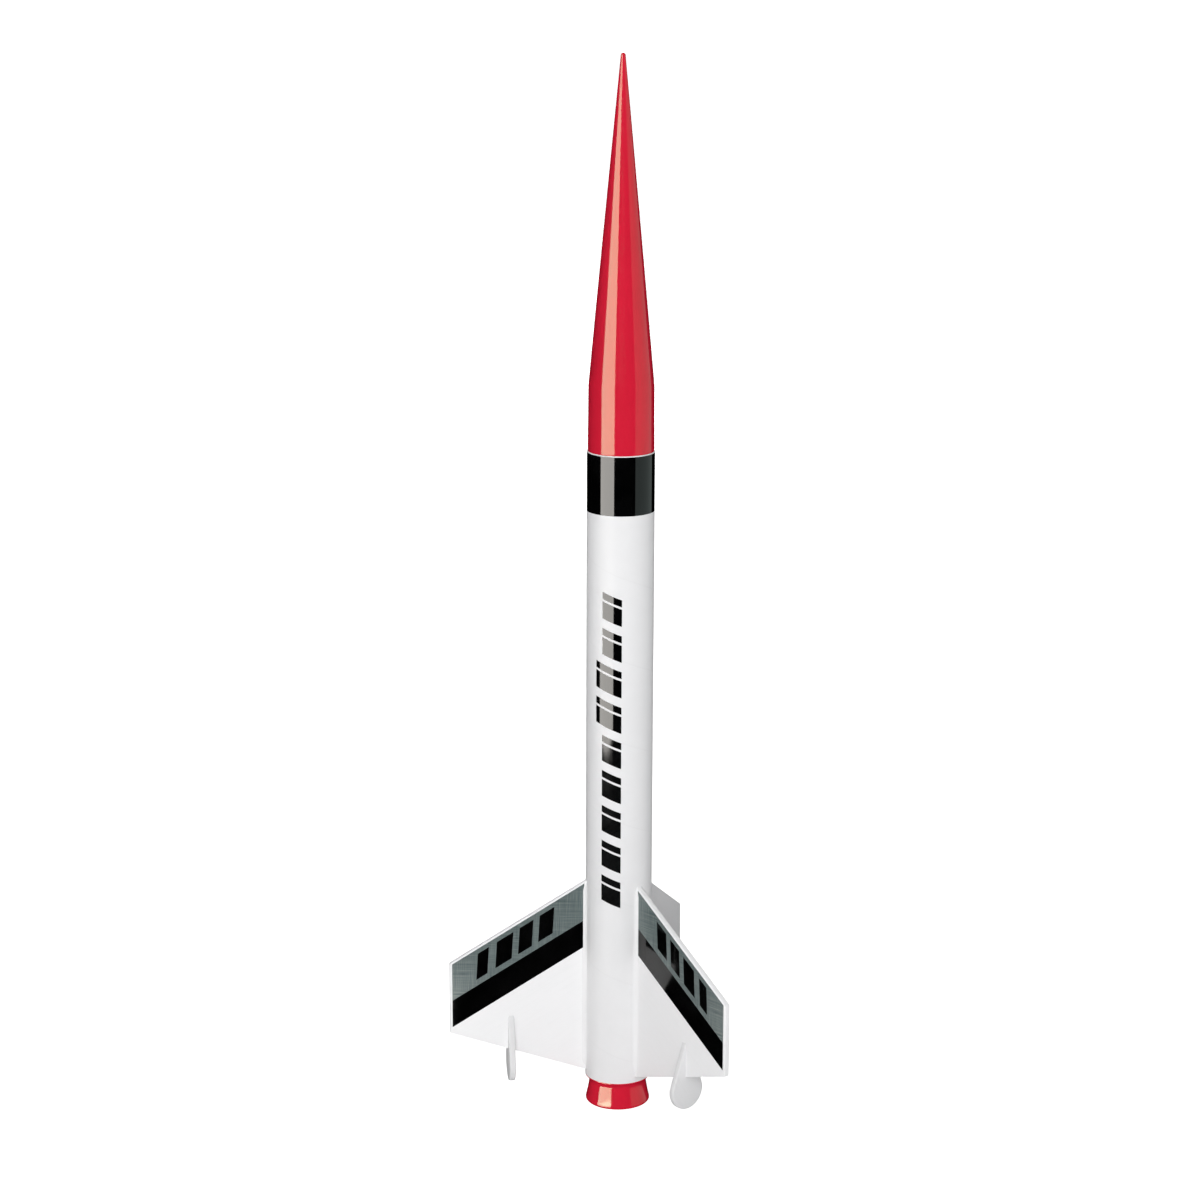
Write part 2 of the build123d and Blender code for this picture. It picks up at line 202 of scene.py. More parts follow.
def noise(tree, place, scale=1.0, detail=2.0, roughness=0.5, stretch=None):
    """A noise of 0 to 1, at a scale per metre, or stretched by a scale for each axis."""
    if stretch:
        place = put_node(tree, "Mapping", {0: place, 3: stretch}).outputs[0]
    return put_node(tree, "TexNoise", {"Vector": place, "Scale": scale, "Detail": detail,
                                       "Roughness": roughness}).outputs[0]


def sharpened(tree, value, low, high):
    """A value's part between low and high, stretched to run from 0 to 1."""
    return put_node(tree, "MapRange", {0: value, 1: low, 2: high}).outputs[0]


def new_effect(name, takes, gives):
    """A surface effect that several finishes share, with named inputs and outputs."""
    effect = bpy.data.node_groups.new(name, "ShaderNodeTree")
    effect.interface.new_socket("Place", in_out="INPUT", socket_type="NodeSocketVector")
    for socket, value in takes.items():
        made = effect.interface.new_socket(socket, in_out="INPUT", socket_type="NodeSocketFloat")
        made.default_value = value
    for socket in gives:
        effect.interface.new_socket(socket, in_out="OUTPUT", socket_type="NodeSocketFloat")
    return effect, effect.nodes.new("NodeGroupInput").outputs, effect.nodes.new("NodeGroupOutput")


def use_effect(tree, effect, place, **values):
    """Puts a shared effect into a finish and returns its outputs."""
    made = tree.nodes.new("ShaderNodeGroup")
    made.node_tree = effect
    tree.links.new(place, made.inputs["Place"])
    for socket, value in values.items():
        made.inputs[socket].default_value = value
    return made.outputs


def new_finish(name, colour, roughness, **constants):
    """A finish with its plain values set; returns it, its node tree, its shader and the place.
    Further constants have their sockets' names, with _ for a space."""
    finish = bpy.data.materials.new(name)
    finish.use_nodes = True
    finish.diffuse_color = (*colour, 1)
    tree = finish.node_tree
    shader = tree.nodes["Principled BSDF"]
    shader.inputs["Base Color"].default_value = (*colour, 1)
    shader.inputs["Roughness"].default_value = roughness
    for socket, value in constants.items():
        shader.inputs[socket.replace("_", " ")].default_value = value
    place = tree.nodes.new("ShaderNodeTexCoord").outputs["Object"]
    return finish, tree, shader, place


def dress(tree, shader, height, colour=None, roughness=None):
    """Feeds a finish's shader with a relief's height in mm, a colour and a roughness."""
    relief = put_node(tree, "Bump", {"Strength": 1.0, "Distance": MM, "Height": height})
    for socket, feed in (("Normal", relief.outputs[0]), ("Base Color", colour), ("Roughness", roughness)):
        if feed:
            tree.links.new(feed, shader.inputs[socket])


def make_skin_effect():
    """The fine unevenness of sprayed paint and moulded plastic, with smudges from handling."""
    effect, takes, gives = new_effect("surface_skin", {"Size": 1.5, "Depth": 0.004},
                                      ("Height", "Smudge"))
    detail = sum_up(effect, "DIVIDE", 1000.0, takes["Size"])
    smudge = noise(effect, takes["Place"], 55.0, 5.0, 0.65)
    peel = put_node(effect, "TexNoise", {"Vector": takes["Place"], "Scale": detail, "Detail": 2.0})
    height = sum_up(effect, "MULTIPLY", peel.outputs[0], takes["Depth"])
    effect.links.new(height, gives.inputs["Height"])
    effect.links.new(sharpened(effect, smudge, 0.38, 0.68), gives.inputs["Smudge"])
    return effect


def make_wound_paper_effect():
    """The spiral seam and the fibres of a paper tube wound from strip, round the Z axis."""
    effect, takes, gives = new_effect("wound_paper", {"Pitch": 20.0, "Seam": 0.8},
                                      ("Seam", "Fibre"))
    parts = put_node(effect, "SeparateXYZ", {0: takes["Place"]}).outputs
    angle = sum_up(effect, "ARCTAN2", parts[1], parts[0])
    turns = sum_up(effect, "DIVIDE", angle, 2 * math.pi)
    height = sum_up(effect, "MULTIPLY", parts[2], 1000.0)
    climb = sum_up(effect, "DIVIDE", height, takes["Pitch"])
    strip = sum_up(effect, "FRACT", sum_up(effect, "ADD", turns, climb))
    off_seam = sum_up(effect, "ABSOLUTE", sum_up(effect, "SUBTRACT", strip, 0.5))
    away = sum_up(effect, "MULTIPLY", off_seam, takes["Pitch"])
    seam = put_node(effect, "MapRange", {0: away, 1: 0.0, 2: takes["Seam"], 3: 1.0, 4: 0.0},
                    interpolation_type="SMOOTHSTEP")
    effect.links.new(seam.outputs[0], gives.inputs["Seam"])
    fibre = noise(effect, takes["Place"], 1.0, 6.0, 0.7, stretch=(900.0, 900.0, 260.0))
    effect.links.new(fibre, gives.inputs["Fibre"])
    return effect


def make_kraft(name, light, dark, pitch):
    """Bare kraft paper, wound in a spiral."""
    finish, tree, shader, place = new_finish(name, light, 0.85, Specular_IOR_Level=0.25)
    paper = use_effect(tree, wound_paper, place, Pitch=pitch, Seam=0.35)
    tone = sum_up(tree, "ADD", scaled(tree, paper["Fibre"], -0.35, 0.95),
                  scaled(tree, paper["Seam"], 0.0, 0.5))
    fuzz = sum_up(tree, "MULTIPLY", paper["Fibre"], 0.05)
    height = sum_up(tree, "SUBTRACT", fuzz, scaled(tree, paper["Seam"], 0.0, 0.05))
    dress(tree, shader, height, tint(tree, tone, light, dark))
    return finish


surface_skin = make_skin_effect()
wound_paper = make_wound_paper_effect()
kraft = make_kraft("kraft_paper", (0.50, 0.34, 0.19), (0.27, 0.16, 0.08), 17.0)

motor_tube = turn_ring("motor_tube_paper", MOTOR_TUBE_INNER, MOTOR_TUBE_OUTER, *span("motor_tube"))
soften_edges(motor_tube, 0.08)
cover(motor_tube, kraft)
place_piece(motor_tube, "airframe", "kraft_paper", "motor_tube")


# --- Thrust ring and centring rings -----------------------------------------------------------
# Rings punched or wound from grey card. The thrust ring stops the motor, and the two centring
# rings carry the motor tube in the body tube. Each has a notch for the hook.
HOOK_DIRECTION = 150.0
HOOK_WIDTH = 3.4
HOOK_THICKNESS = 0.6
BODY_TUBE_INNER = 12.05
THRUST_RING_INNER = 7.6
CARD_LAYER = 0.5


def combine(piece, other, operation):
    """Cuts another piece out of a piece, or joins it on, and does away with the other."""
    step = piece.modifiers.new("combined", "BOOLEAN")
    step.operation = operation
    step.solver = "EXACT"
    step.object = other
    keep_shape(piece)
    bpy.data.objects.remove(other)


def notch_out(piece, near, far, width, low, high):
    """Cuts a straight-sided notch at the hook's direction, from one radius to another."""
    middle = Vector(((near + far) / 2, 0, (low + high) / 2)) * MM
    turn = Matrix.Rotation(math.radians(HOOK_DIRECTION), 3, "Z")
    bpy.ops.object.select_all(action="DESELECT")
    bpy.ops.mesh.primitive_cube_add(
        size=MM, location=turn @ middle, rotation=(0, 0, math.radians(HOOK_DIRECTION)),
        scale=(far - near, width, high - low))
    combine(piece, bpy.context.object, "DIFFERENCE")


def make_card():
    """Laminated grey card: even on its faces, in fine layers on its cut edges."""
    finish, tree, shader, place = new_finish("ring_card", (0.42, 0.40, 0.35), 0.9,
                                             Specular_IOR_Level=0.2)
    parts = put_node(tree, "SeparateXYZ", {0: place}).outputs
    layers = sum_up(tree, "SINE", sum_up(tree, "MULTIPLY", parts[2], 2 * math.pi / (CARD_LAYER * MM)))
    skin = use_effect(tree, surface_skin, place, Size=0.5, Depth=0.05)
    tone = sum_up(tree, "MULTIPLY_ADD", layers, 0.12, scaled(tree, skin["Smudge"], 0.2, 0.8))
    dress(tree, shader, skin["Height"], tint(tree, tone, (0.46, 0.43, 0.37), (0.30, 0.28, 0.24)))
    return finish


card = make_card()
for node in ("centring_ring_aft", "centring_ring_fore"):
    bottom, top = span(node)
    ring = turn_ring(node + "_card", MOTOR_TUBE_OUTER, BODY_TUBE_INNER, bottom, top)
    notch_out(ring, MOTOR_TUBE_OUTER - 0.2, MOTOR_TUBE_OUTER + 0.8, HOOK_WIDTH + 0.6,
              bottom - 1, top + 1)
    soften_edges(ring, 0.1)
    cover(ring, card)
    place_piece(ring, "airframe", "ring_card", node)

bottom, top = span("thrust_ring")
thrust_ring = turn_ring("thrust_ring_card", THRUST_RING_INNER, MOTOR_TUBE_OUTER, bottom, top)
notch_out(thrust_ring, THRUST_RING_INNER - 1, MOTOR_TUBE_OUTER + 1, HOOK_WIDTH,
          bottom - 1, bottom + HOOK_THICKNESS)
soften_edges(thrust_ring, 0.12)
cover(thrust_ring, card)
place_piece(thrust_ring, "airframe", "ring_card", "thrust_ring")


# --- Motor hook -------------------------------------------------------------------------------
# One strip of spring steel, bent in at its top over the motor and at its bottom into a finger
# that holds the motor in. Its lower run, which springs outwards when a motor is changed, is cut
# across in fine steps at its bend but kept straight.
HOOK_RADIUS = MOTOR_TUBE_OUTER + HOOK_THICKNESS / 2
HOOK_FINGER_RADIUS = 7.4
HOOK_BEND = 0.55
HOOK_HINGE = 23.7


def make_spring_steel():
    """Rolled steel with fine scratches along its length and a faint straw tint."""
    finish, tree, shader, place = new_finish("spring_steel", (0.55, 0.56, 0.58), 0.3, Metallic=1.0)
    scratches = noise(tree, place, detail=4.0, stretch=(2500.0, 2500.0, 90.0))
    skin = use_effect(tree, surface_skin, place, Size=2.0, Depth=0.01)
    dress(tree, shader, sum_up(tree, "MULTIPLY", scratches, 0.012),
          tint(tree, skin["Smudge"], (0.56, 0.57, 0.59), (0.42, 0.40, 0.36)),
          scaled(tree, scratches, 0.22, 0.45))
    return finish


def pick(piece, kind, test):
    """Selects, in edit mode, only the edges or faces whose corners, in mm, pass a test."""
    bpy.ops.mesh.select_mode(type=kind)
    hold("DESELECT")
    mesh = bmesh.from_edit_mesh(piece.data)
    for part in mesh.edges if kind == "EDGE" else mesh.faces:
        part.select_set(bool(test(*(corner.co / MM for corner in part.verts))))
    bmesh.update_edit_mesh(piece.data)


def pull_out(x, y, z):
    """Extrudes what is selected of the mesh in hand, in mm."""
    bpy.ops.mesh.extrude_region_move(TRANSFORM_OT_translate={"value": (x * MM, y * MM, z * MM)})


def slice_across(heights):
    """Cuts the mesh in hand across at these heights, in mm."""
    for height in heights:
        hold()
        bpy.ops.mesh.bisect(plane_co=(0, 0, height * MM), plane_no=(0, 0, 1))


def thicken(piece, thickness, offset, even=False):
    """Gives a sheet its thickness in mm: half to each side at an offset of 0, in front at 1."""
    made = piece.modifiers.new("thickness", "SOLIDIFY")
    made.thickness = thickness * MM
    made.offset = offset
    made.use_even_offset = even
    keep_shape(piece)


hook_bottom = span("hook_tip")[0] + HOOK_THICKNESS / 2
hook_top = span("hook_shank")[1] - HOOK_THICKNESS / 2
hook_side = [(HOOK_FINGER_RADIUS, hook_bottom), (HOOK_RADIUS, hook_bottom),
             (HOOK_RADIUS, hook_top), (THRUST_RING_INNER, hook_top)]
hook = draw_line("motor_hook", [(radius, -HOOK_WIDTH / 2, height) for radius, height in hook_side])
hold()
pull_out(0, HOOK_WIDTH, 0)
pick(hook, "EDGE", lambda a, b: abs(a.y - b.y) > 1 and min(a.x, b.x) > HOOK_RADIUS - 0.1)
bpy.ops.mesh.bevel(offset=HOOK_BEND * MM, segments=5, affect="EDGES")
slice_across([HOOK_HINGE + step * 0.8 for step in range(-5, 6)])
leave_mesh()
thicken(hook, HOOK_THICKNESS, 0.0, even=True)
soften_edges(hook, 0.12)
cover(hook, make_spring_steel())
hook.rotation_euler.z = math.radians(HOOK_DIRECTION)
settle(hook)
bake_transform(hook)
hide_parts("hook_shank", "hook_tip")


# --- Hook retainer ----------------------------------------------------------------------------
# A short band of clear amber plastic film that is slid over the hook and the motor tube, and
# holds the hook's middle down.
RETAINER_INNER = 10.1
RETAINER_OUTER = 10.35


def make_plain(name, colour, roughness, skin, clean, smudged, gloss=None, **constants):
    """A finish with nothing but its skin, of a size and depth in mm. Its smudges change its
    colour and, if a range of gloss is given, its roughness."""
    finish, tree, shader, place = new_finish(name, colour, roughness, **constants)
    face = use_effect(tree, surface_skin, place, Size=skin[0], Depth=skin[1])
    dress(tree, shader, face["Height"], tint(tree, face["Smudge"], clean, smudged),
          gloss and scaled(tree, face["Smudge"], *gloss))
    return finish


retainer = turn_ring("hook_retainer_band", RETAINER_INNER, RETAINER_OUTER, *span("hook_retainer"))
soften_edges(retainer, 0.06)
cover(retainer, make_plain("retainer_film", (0.72, 0.60, 0.34), 0.18, (4.0, 0.05),
                           (0.74, 0.63, 0.38), (0.62, 0.48, 0.24), gloss=(0.14, 0.32)))
place_piece(retainer, "airframe", "retainer_film", "hook_retainer")


# --- Body tube --------------------------------------------------------------------------------
# A glossy-faced paper tube wound in a spiral. Its outside is sealed, sanded and sprayed white,
# so the seam only just shows, and its inside is bare kraft paper.
BODY_TUBE_OUTER = 12.4
BODY_TUBE_PITCH = 31.0


def make_white_paint(name, white_and_painted_light, pitch=None, grain=None):
    """White enamel over paper or filled balsa, at a given level of white. The level is the paint's own
    white on the tube, lug and glue; the front fins' higher level is painted light, and the rear fin's
    and winglets' lower level is painted shade."""
    white, shaded = (white_and_painted_light, white_and_painted_light, white_and_painted_light + 0.01), (white_and_painted_light - 0.06, white_and_painted_light - 0.06, white_and_painted_light - 0.05)
    finish, tree, shader, place = new_finish(name, white, 0.46, Specular_IOR_Level=0.12)
    skin = use_effect(tree, surface_skin, place, Size=1.1, Depth=0.004)
    height, tone = skin["Height"], scaled(tree, skin["Smudge"], 0.0, 0.35)
    if pitch:
        paper = use_effect(tree, wound_paper, place, Pitch=pitch, Seam=0.5)
        height = sum_up(tree, "SUBTRACT", height, scaled(tree, paper["Seam"], 0.0, 0.008))
        tone = sum_up(tree, "ADD", tone, scaled(tree, paper["Seam"], 0.0, 0.3))
    if grain:
        along = tree.nodes.new("ShaderNodeUVMap").outputs[0]
        wood = use_effect(tree, grain, along)
        height = sum_up(tree, "ADD", height, scaled(tree, wood["Grain"], 0.0, 0.012))
        tone = sum_up(tree, "ADD", tone, scaled(tree, wood["Grain"], 0.0, 0.25))
    dress(tree, shader, height, tint(tree, tone, white, shaded), scaled(tree, skin["Smudge"], 0.40, 0.52))
    return finish


tube_bottom, tube_top = span("body_tube")
body_tube = turn_ring("body_tube_painted", BODY_TUBE_INNER, BODY_TUBE_OUTER, tube_bottom, tube_top, 144)
soften_edges(body_tube, 0.09)
cover(body_tube, make_white_paint("tube_white", 0.86, pitch=BODY_TUBE_PITCH),
      make_kraft("tube_inside", (0.52, 0.37, 0.22), (0.33, 0.21, 0.11), BODY_TUBE_PITCH))
for face in body_tube.data.polygons:
    face.material_index = int(Vector(face.center[:2]).length < (BODY_TUBE_INNER + 0.06) * MM)
place_piece(body_tube, "airframe", "tube_white", "body_tube")


# --- Tail cone --------------------------------------------------------------------------------
# A red moulded plastic nozzle: a flared rim, a waist, and a shoulder glued into the tube. A
# slot on the side away from the print lets the hook spring out.
TAIL_RIM = 12.1
TAIL_THROAT = 10.75
TAIL_THROAT_HEIGHT = 8.0
TAIL_SEAT = 12.3
TAIL_BORE = 9.45
TAIL_SLOT = 4.4


def arc_points(start, middle, end, count):
    """Points along the arc through three (radius, height) points, without its end."""
    (ax, ay), (bx, by), (cx, cy) = start, middle, end
    spread = 2 * (ax * (by - cy) + bx * (cy - ay) + cx * (ay - by))
    a2, b2, c2 = ax * ax + ay * ay, bx * bx + by * by, cx * cx + cy * cy
    ox = (a2 * (by - cy) + b2 * (cy - ay) + c2 * (ay - by)) / spread
    oy = (a2 * (cx - bx) + b2 * (ax - cx) + c2 * (bx - ax)) / spread
    first, last = math.atan2(ay - oy, ax - ox), math.atan2(cy - oy, cx - ox)
    sweep = (last - first + math.pi) % (2 * math.pi) - math.pi
    radius = math.hypot(ax - ox, ay - oy)
    angles = [first + sweep * step / count for step in range(count)]
    return [(ox + radius * math.cos(angle), oy + radius * math.sin(angle)) for angle in angles]


def make_gloss_red(name):
    """Glossy red moulded plastic, with faint flow marks and a few smudges."""
    red, smudged = (0.690, 0.0155, 0.043), (0.645, 0.0128, 0.0376)
    return make_plain(name, red, 0.07, (2.6, 0.0022), red, smudged, gloss=(0.05, 0.11),
                      Specular_Tint=(0.65, 1.0, 0.72, 1))


tail_bottom, tail_top = span("tail_cone")
throat = (TAIL_THROAT, TAIL_THROAT_HEIGHT)
rim = (TAIL_RIM, tail_bottom + 1.0)
lip = (TAIL_RIM - 0.5, tail_bottom)
seat = (TAIL_SEAT, tube_bottom - 0.4)
tail_outline = [(TAIL_BORE, tail_bottom + 0.25), (TAIL_BORE + 0.25, tail_bottom)]
tail_outline += arc_points(lip, (TAIL_RIM - 0.13, tail_bottom + 0.35), rim, 8)
tail_outline += arc_points(rim, (TAIL_THROAT + 0.6, 0.55 * TAIL_THROAT_HEIGHT), throat, 16)
tail_outline += arc_points(throat, (TAIL_THROAT + 0.4, TAIL_THROAT_HEIGHT + 1.5), seat, 10)
tail_outline += [seat, (TAIL_SEAT, tube_bottom), (BODY_TUBE_INNER, tube_bottom),
                 (BODY_TUBE_INNER, tail_top - 0.3), (BODY_TUBE_INNER - 0.3, tail_top),
                 (TAIL_BORE + 0.2, tail_top), (TAIL_BORE, tail_top - 0.2)]
tail_cone = turn_on_lathe("tail_cone_moulded", tail_outline, steps=128)
notch_out(tail_cone, TAIL_BORE - 1, TAIL_RIM + 2, TAIL_SLOT, tail_bottom - 1, tail_top + 1)
cover(tail_cone, make_gloss_red("tail_red"))
place_piece(tail_cone, "airframe", "tail_red", "tail_cone", smooth=38)


# --- Fins -------------------------------------------------------------------------------------
# Three fins cut from 2.4 mm balsa sheet, the grain along the leading edge. They are sanded
# round in front and at the tip, filled, glued to the tube, and sprayed white with it.
FIN_HALF = 1.2
FIN_ROOT = 12.25
FIN_TIP = 64.0
FIN_LEAD_ROOT = 88.4
FIN_LEAD_TIP = 57.6
FIN_TRAIL_TIP = 30.1
FIN_TRAIL_ROOT = 12.7
FIN_SLOPE = (FIN_LEAD_TIP - FIN_LEAD_ROOT) / (FIN_TIP - BODY_TUBE_OUTER)
FIN_DIRECTIONS = {"right": -30.0, "left": 210.0, "rear": 90.0}


def make_wood_grain_effect():
    """Long balsa pores that run along the leading edge of a fin."""
    effect, takes, gives = new_effect("balsa_grain", {"Turn": 0.54}, ("Grain",))
    turned = put_node(effect, "VectorRotate", {"Vector": takes["Place"], "Angle": takes["Turn"]},
                      rotation_type="Z_AXIS")
    pores = noise(effect, turned.outputs[0], detail=3.0, stretch=(60.0, 1500.0, 1.0))
    effect.links.new(sharpened(effect, pores, 0.45, 0.75), gives.inputs["Grain"])
    return effect


def lay_flat_map(piece, along=0, up=2):
    """Gives a flat piece a UV map of its own length and height, in metres."""
    layer = piece.data.uv_layers.active or piece.data.uv_layers.new(name="UVMap")
    for loop in piece.data.loops:
        place = piece.data.vertices[loop.vertex_index].co
        layer.data[loop.index].uv = (place[along], place[up])


def fill_outline(name, points):
    """Fills an outline of points in mm with one face, and stays in edit mode."""
    piece = draw_line(name, points)
    hold()
    bpy.ops.mesh.edge_face_add()
    return piece


def cut_board(name, points, through):
    """Cuts a board to an outline of points in mm; through is the step to its other face."""
    piece = fill_outline(name, points)
    pull_out(*through)
    hold()
    bpy.ops.mesh.normals_make_consistent(inside=False)
    return piece


def lead_edge(radius):
    """The height of a fin's leading edge at a radius."""
    return FIN_LEAD_ROOT + (radius - BODY_TUBE_OUTER) * FIN_SLOPE


def make_fin(name):
    """One fin along X, its front and tip sanded round and its back left square."""
    corners = [(FIN_ROOT, FIN_TRAIL_ROOT), (FIN_TIP, FIN_TRAIL_TIP), (FIN_TIP, FIN_LEAD_TIP),
               (FIN_ROOT, lead_edge(FIN_ROOT))]
    fin = cut_board(name, [(x, -FIN_HALF, z) for x, z in corners], (0, 2 * FIN_HALF, 0))

    def sanded(a, b):
        in_front = min(a.z - lead_edge(a.x), b.z - lead_edge(b.x)) > -0.1 and abs(a.x - b.x) > 5
        return in_front or min(a.x, b.x) > FIN_TIP - 0.1 and a.y == b.y

    pick(fin, "EDGE", sanded)
    bpy.ops.mesh.bevel(offset=0.5 * MM, segments=4, affect="EDGES")
    leave_mesh()
    soften_edges(fin, 0.15)
    lay_flat_map(fin)
    return fin


balsa_grain = make_wood_grain_effect()
# The front fins' white is set above the tube's: painted light.
painted_light_white = make_white_paint("fin_white", 0.95, grain=balsa_grain)
# A darker copy of the same white for the rear fin and the winglets: painted shade.
painted_shade_white = make_white_paint("white_with_painted_shade", 0.78, grain=balsa_grain)
for name, direction in FIN_DIRECTIONS.items():
    fin = make_fin("fin_" + name + "_balsa")
    fin.rotation_euler.z = math.radians(direction)
    # The front fins take the brighter white, painted light; the rear fin the darker one, painted shade.
    cover(fin, painted_shade_white if name == "rear" else painted_light_white)
    place_piece(fin, "airframe", "fin_white", "fin_" + name)


# --- Winglets ---------------------------------------------------------------------------------
# Teardrops of the same balsa, each slotted from its point down over a fin's trailing edge and
# glued across it, square to the fin.
WINGLET_RADIUS = 40.9
WINGLET_ROUND = 7.2
WINGLET_BOTTOM = 9.8
WINGLET_APEX = 39.5
WINGLET_HALF = 1.2
WINGLET_STEPS = 36


def make_winglet(name):
    """One teardrop across the fin that lies along X, with the fin's slot cut out of it."""
    centre = WINGLET_BOTTOM + WINGLET_ROUND
    turn = math.acos(WINGLET_ROUND / (WINGLET_APEX - centre))
    near = WINGLET_RADIUS - WINGLET_HALF
    points = []
    for step in range(WINGLET_STEPS + 1):
        angle = turn + (2 * math.pi - 2 * turn) * step / WINGLET_STEPS
        points.append((near, WINGLET_ROUND * math.sin(angle), centre + WINGLET_ROUND * math.cos(angle)))
    winglet = cut_board(name, points + [(near, 0.0, WINGLET_APEX)], (2 * WINGLET_HALF, 0, 0))
    leave_mesh()
    soften_edges(winglet, 0.55, 4)
    combine(winglet, make_fin("slot_gauge"), "DIFFERENCE")
    lay_flat_map(winglet, along=2, up=1)
    return winglet


for name, direction in FIN_DIRECTIONS.items():
    winglet = make_winglet("winglet_" + name + "_balsa")
    winglet.rotation_euler.z = math.radians(direction)
    # The winglets' darker white is painted shade.
    cover(winglet, painted_shade_white)
    place_piece(winglet, "airframe", "fin_white", "winglet_" + name)


# --- Launch lug -------------------------------------------------------------------------------
# A thin paper tube glued along the body tube, away from the print. A launch rod runs through
# it, and it is painted white with the rest.
LUG_INNER = 2.05
LUG_OUTER = 2.35
LUG_RADIUS = BODY_TUBE_OUTER + LUG_OUTER
lug_bottom, lug_top = span("launch_lug")
lug = turn_ring("launch_lug_paper", LUG_INNER, LUG_OUTER, lug_bottom, lug_top, 48)
soften_edges(lug, 0.07)
cover(lug, make_white_paint("lug_paper", 0.85), kraft)
for face in lug.data.polygons:
    face.material_index = int(Vector(face.center[:2]).length < (LUG_INNER + 0.08) * MM)
lug.location = Matrix.Rotation(math.radians(HOOK_DIRECTION), 3, "Z") @ Vector((LUG_RADIUS * MM, 0, 0))
place_piece(lug, "airframe", "lug_paper", "launch_lug")


# --- Glue fillets -----------------------------------------------------------------------------
# Wood glue drawn with a fingertip into a hollow line along both sides of each fin root, and
# along the launch lug, then sprayed white with the rest.
FILLET = 1.6
FIN_BEAD_BOTTOM = 14.7
FIN_BEAD_TOP = 87.4
FIN_BEAD_TAPER = 2.5
LUG_BEAD_TAPER = 1.5
LUG_BEAD_STEPS = (0.2, 0.9, 1.68)
LUG_BEAD_HOLLOW = (12.68, 1.42)


def draw_bead(name, section, corner, bottom, top, taper):
    """A bead of glue with a closed (x, y) section, drawn up Z and thinned to its corner at
    both ends."""
    bead = fill_outline(name, [(x, y, bottom + taper) for x, y in section])
    for start, rise, share in ((bottom + taper, top - bottom - 2 * taper, 1.0),
                               (top - taper, taper * 0.6, 0.75), (top - taper * 0.4, taper * 0.4, 0.4),
                               (bottom + taper, -taper * 0.6, 0.75),
                               (bottom + taper * 0.4, -taper * 0.4, 0.4)):
        pick(bead, "FACE", lambda *corners: all(abs(point.z - start) < 0.01 for point in corners))
        pull_out(0, 0, rise)
        if share < 1:
            bpy.ops.transform.resize(value=(share, share, 1.0),
                                     center_override=(corner[0] * MM, corner[1] * MM, 0))
    close_skin()
    return bead


def join_pieces(name, pieces):
    """Makes one piece of several."""
    take_up(pieces[0])
    for piece in pieces[1:]:
        piece.select_set(True)
    bpy.ops.object.join()
    pieces[0].name = name
    return pieces[0]


beads = []
touch = math.sqrt(BODY_TUBE_OUTER ** 2 - FIN_HALF ** 2)
fin_section = arc_points((touch + FILLET, FIN_HALF), (touch + 0.25 * FILLET, FIN_HALF + 0.3 * FILLET),
                         (touch - 0.35, FIN_HALF + FILLET), 8)
fin_section += [(touch - 0.35, FIN_HALF + FILLET), (touch - 0.28, FIN_HALF + 0.6),
                (touch - 0.1, FIN_HALF)]
lug_section = [(math.sqrt(BODY_TUBE_OUTER ** 2 - y * y), y) for y in LUG_BEAD_STEPS]
lug_section += [LUG_BEAD_HOLLOW]
lug_section += [(LUG_RADIUS - math.sqrt(LUG_OUTER ** 2 - y * y), y) for y in reversed(LUG_BEAD_STEPS)]
fin_bead = (fin_section, touch - 0.1, FIN_HALF, FIN_BEAD_BOTTOM, FIN_BEAD_TOP, FIN_BEAD_TAPER)
lug_bead = (lug_section, BODY_TUBE_OUTER, LUG_BEAD_STEPS[0], lug_bottom, lug_top, LUG_BEAD_TAPER)
joints = [(direction, fin_bead) for direction in FIN_DIRECTIONS.values()] + [(HOOK_DIRECTION, lug_bead)]
for direction, (section, corner_x, corner_y, bottom, top, taper) in joints:
    for sign in (1, -1):
        bead = draw_bead("bead", [(x, sign * y) for x, y in section], (corner_x, sign * corner_y),
                         bottom, top, taper)
        bead.rotation_euler.z = math.radians(direction)
        fix_place(bead)
        beads.append(bead)
fillets = join_pieces("glue_fillets_smoothed", beads)
cover(fillets, make_white_paint("glue_white", 0.86))
place_piece(fillets, "airframe", "glue_white", "glue_fillets", smooth=50)


# --- Band decal -------------------------------------------------------------------------------
# Black printed film wrapped once round the top of the tube. A hair's breadth of white tube
# shows above it.
DECAL_THICKNESS = 0.06
gloss_black = make_plain("band_black", (0.001, 0.001, 0.001), 0.05, (2.2, 0.0018),
                         (0.0006, 0.0006, 0.0007), (0.0022, 0.0022, 0.0024), gloss=(0.04, 0.10))
band = turn_ring("band_decal_film", BODY_TUBE_OUTER, BODY_TUBE_OUTER + DECAL_THICKNESS,
                 *span("band_decal"), 144)
cover(band, gloss_black)
place_piece(band, "airframe", "band_black", "band_decal")


# --- Tube graphic -----------------------------------------------------------------------------
# Nine pairs of slanted black bars, printed on clear film and laid up the front of the tube.
# The sixth and seventh pairs reach further to the left.
GRAPHIC_BOTTOM = 83.8
GRAPHIC_PAIRS = 9
GRAPHIC_PITCH = 13.5
GRAPHIC_THICK_BAR = 6.4
GRAPHIC_GAP = 0.9
GRAPHIC_THIN_BAR = 2.6
GRAPHIC_SLANT = -2.8
GRAPHIC_LEFT = -2.0
GRAPHIC_WIDE_LEFT = -4.6
GRAPHIC_RIGHT = 5.2
GRAPHIC_WIDE_PAIRS = (5, 6)
GRAPHIC_FADE_TOP = 0.165
GRAPHIC_FADE_BOTTOM = 0.105


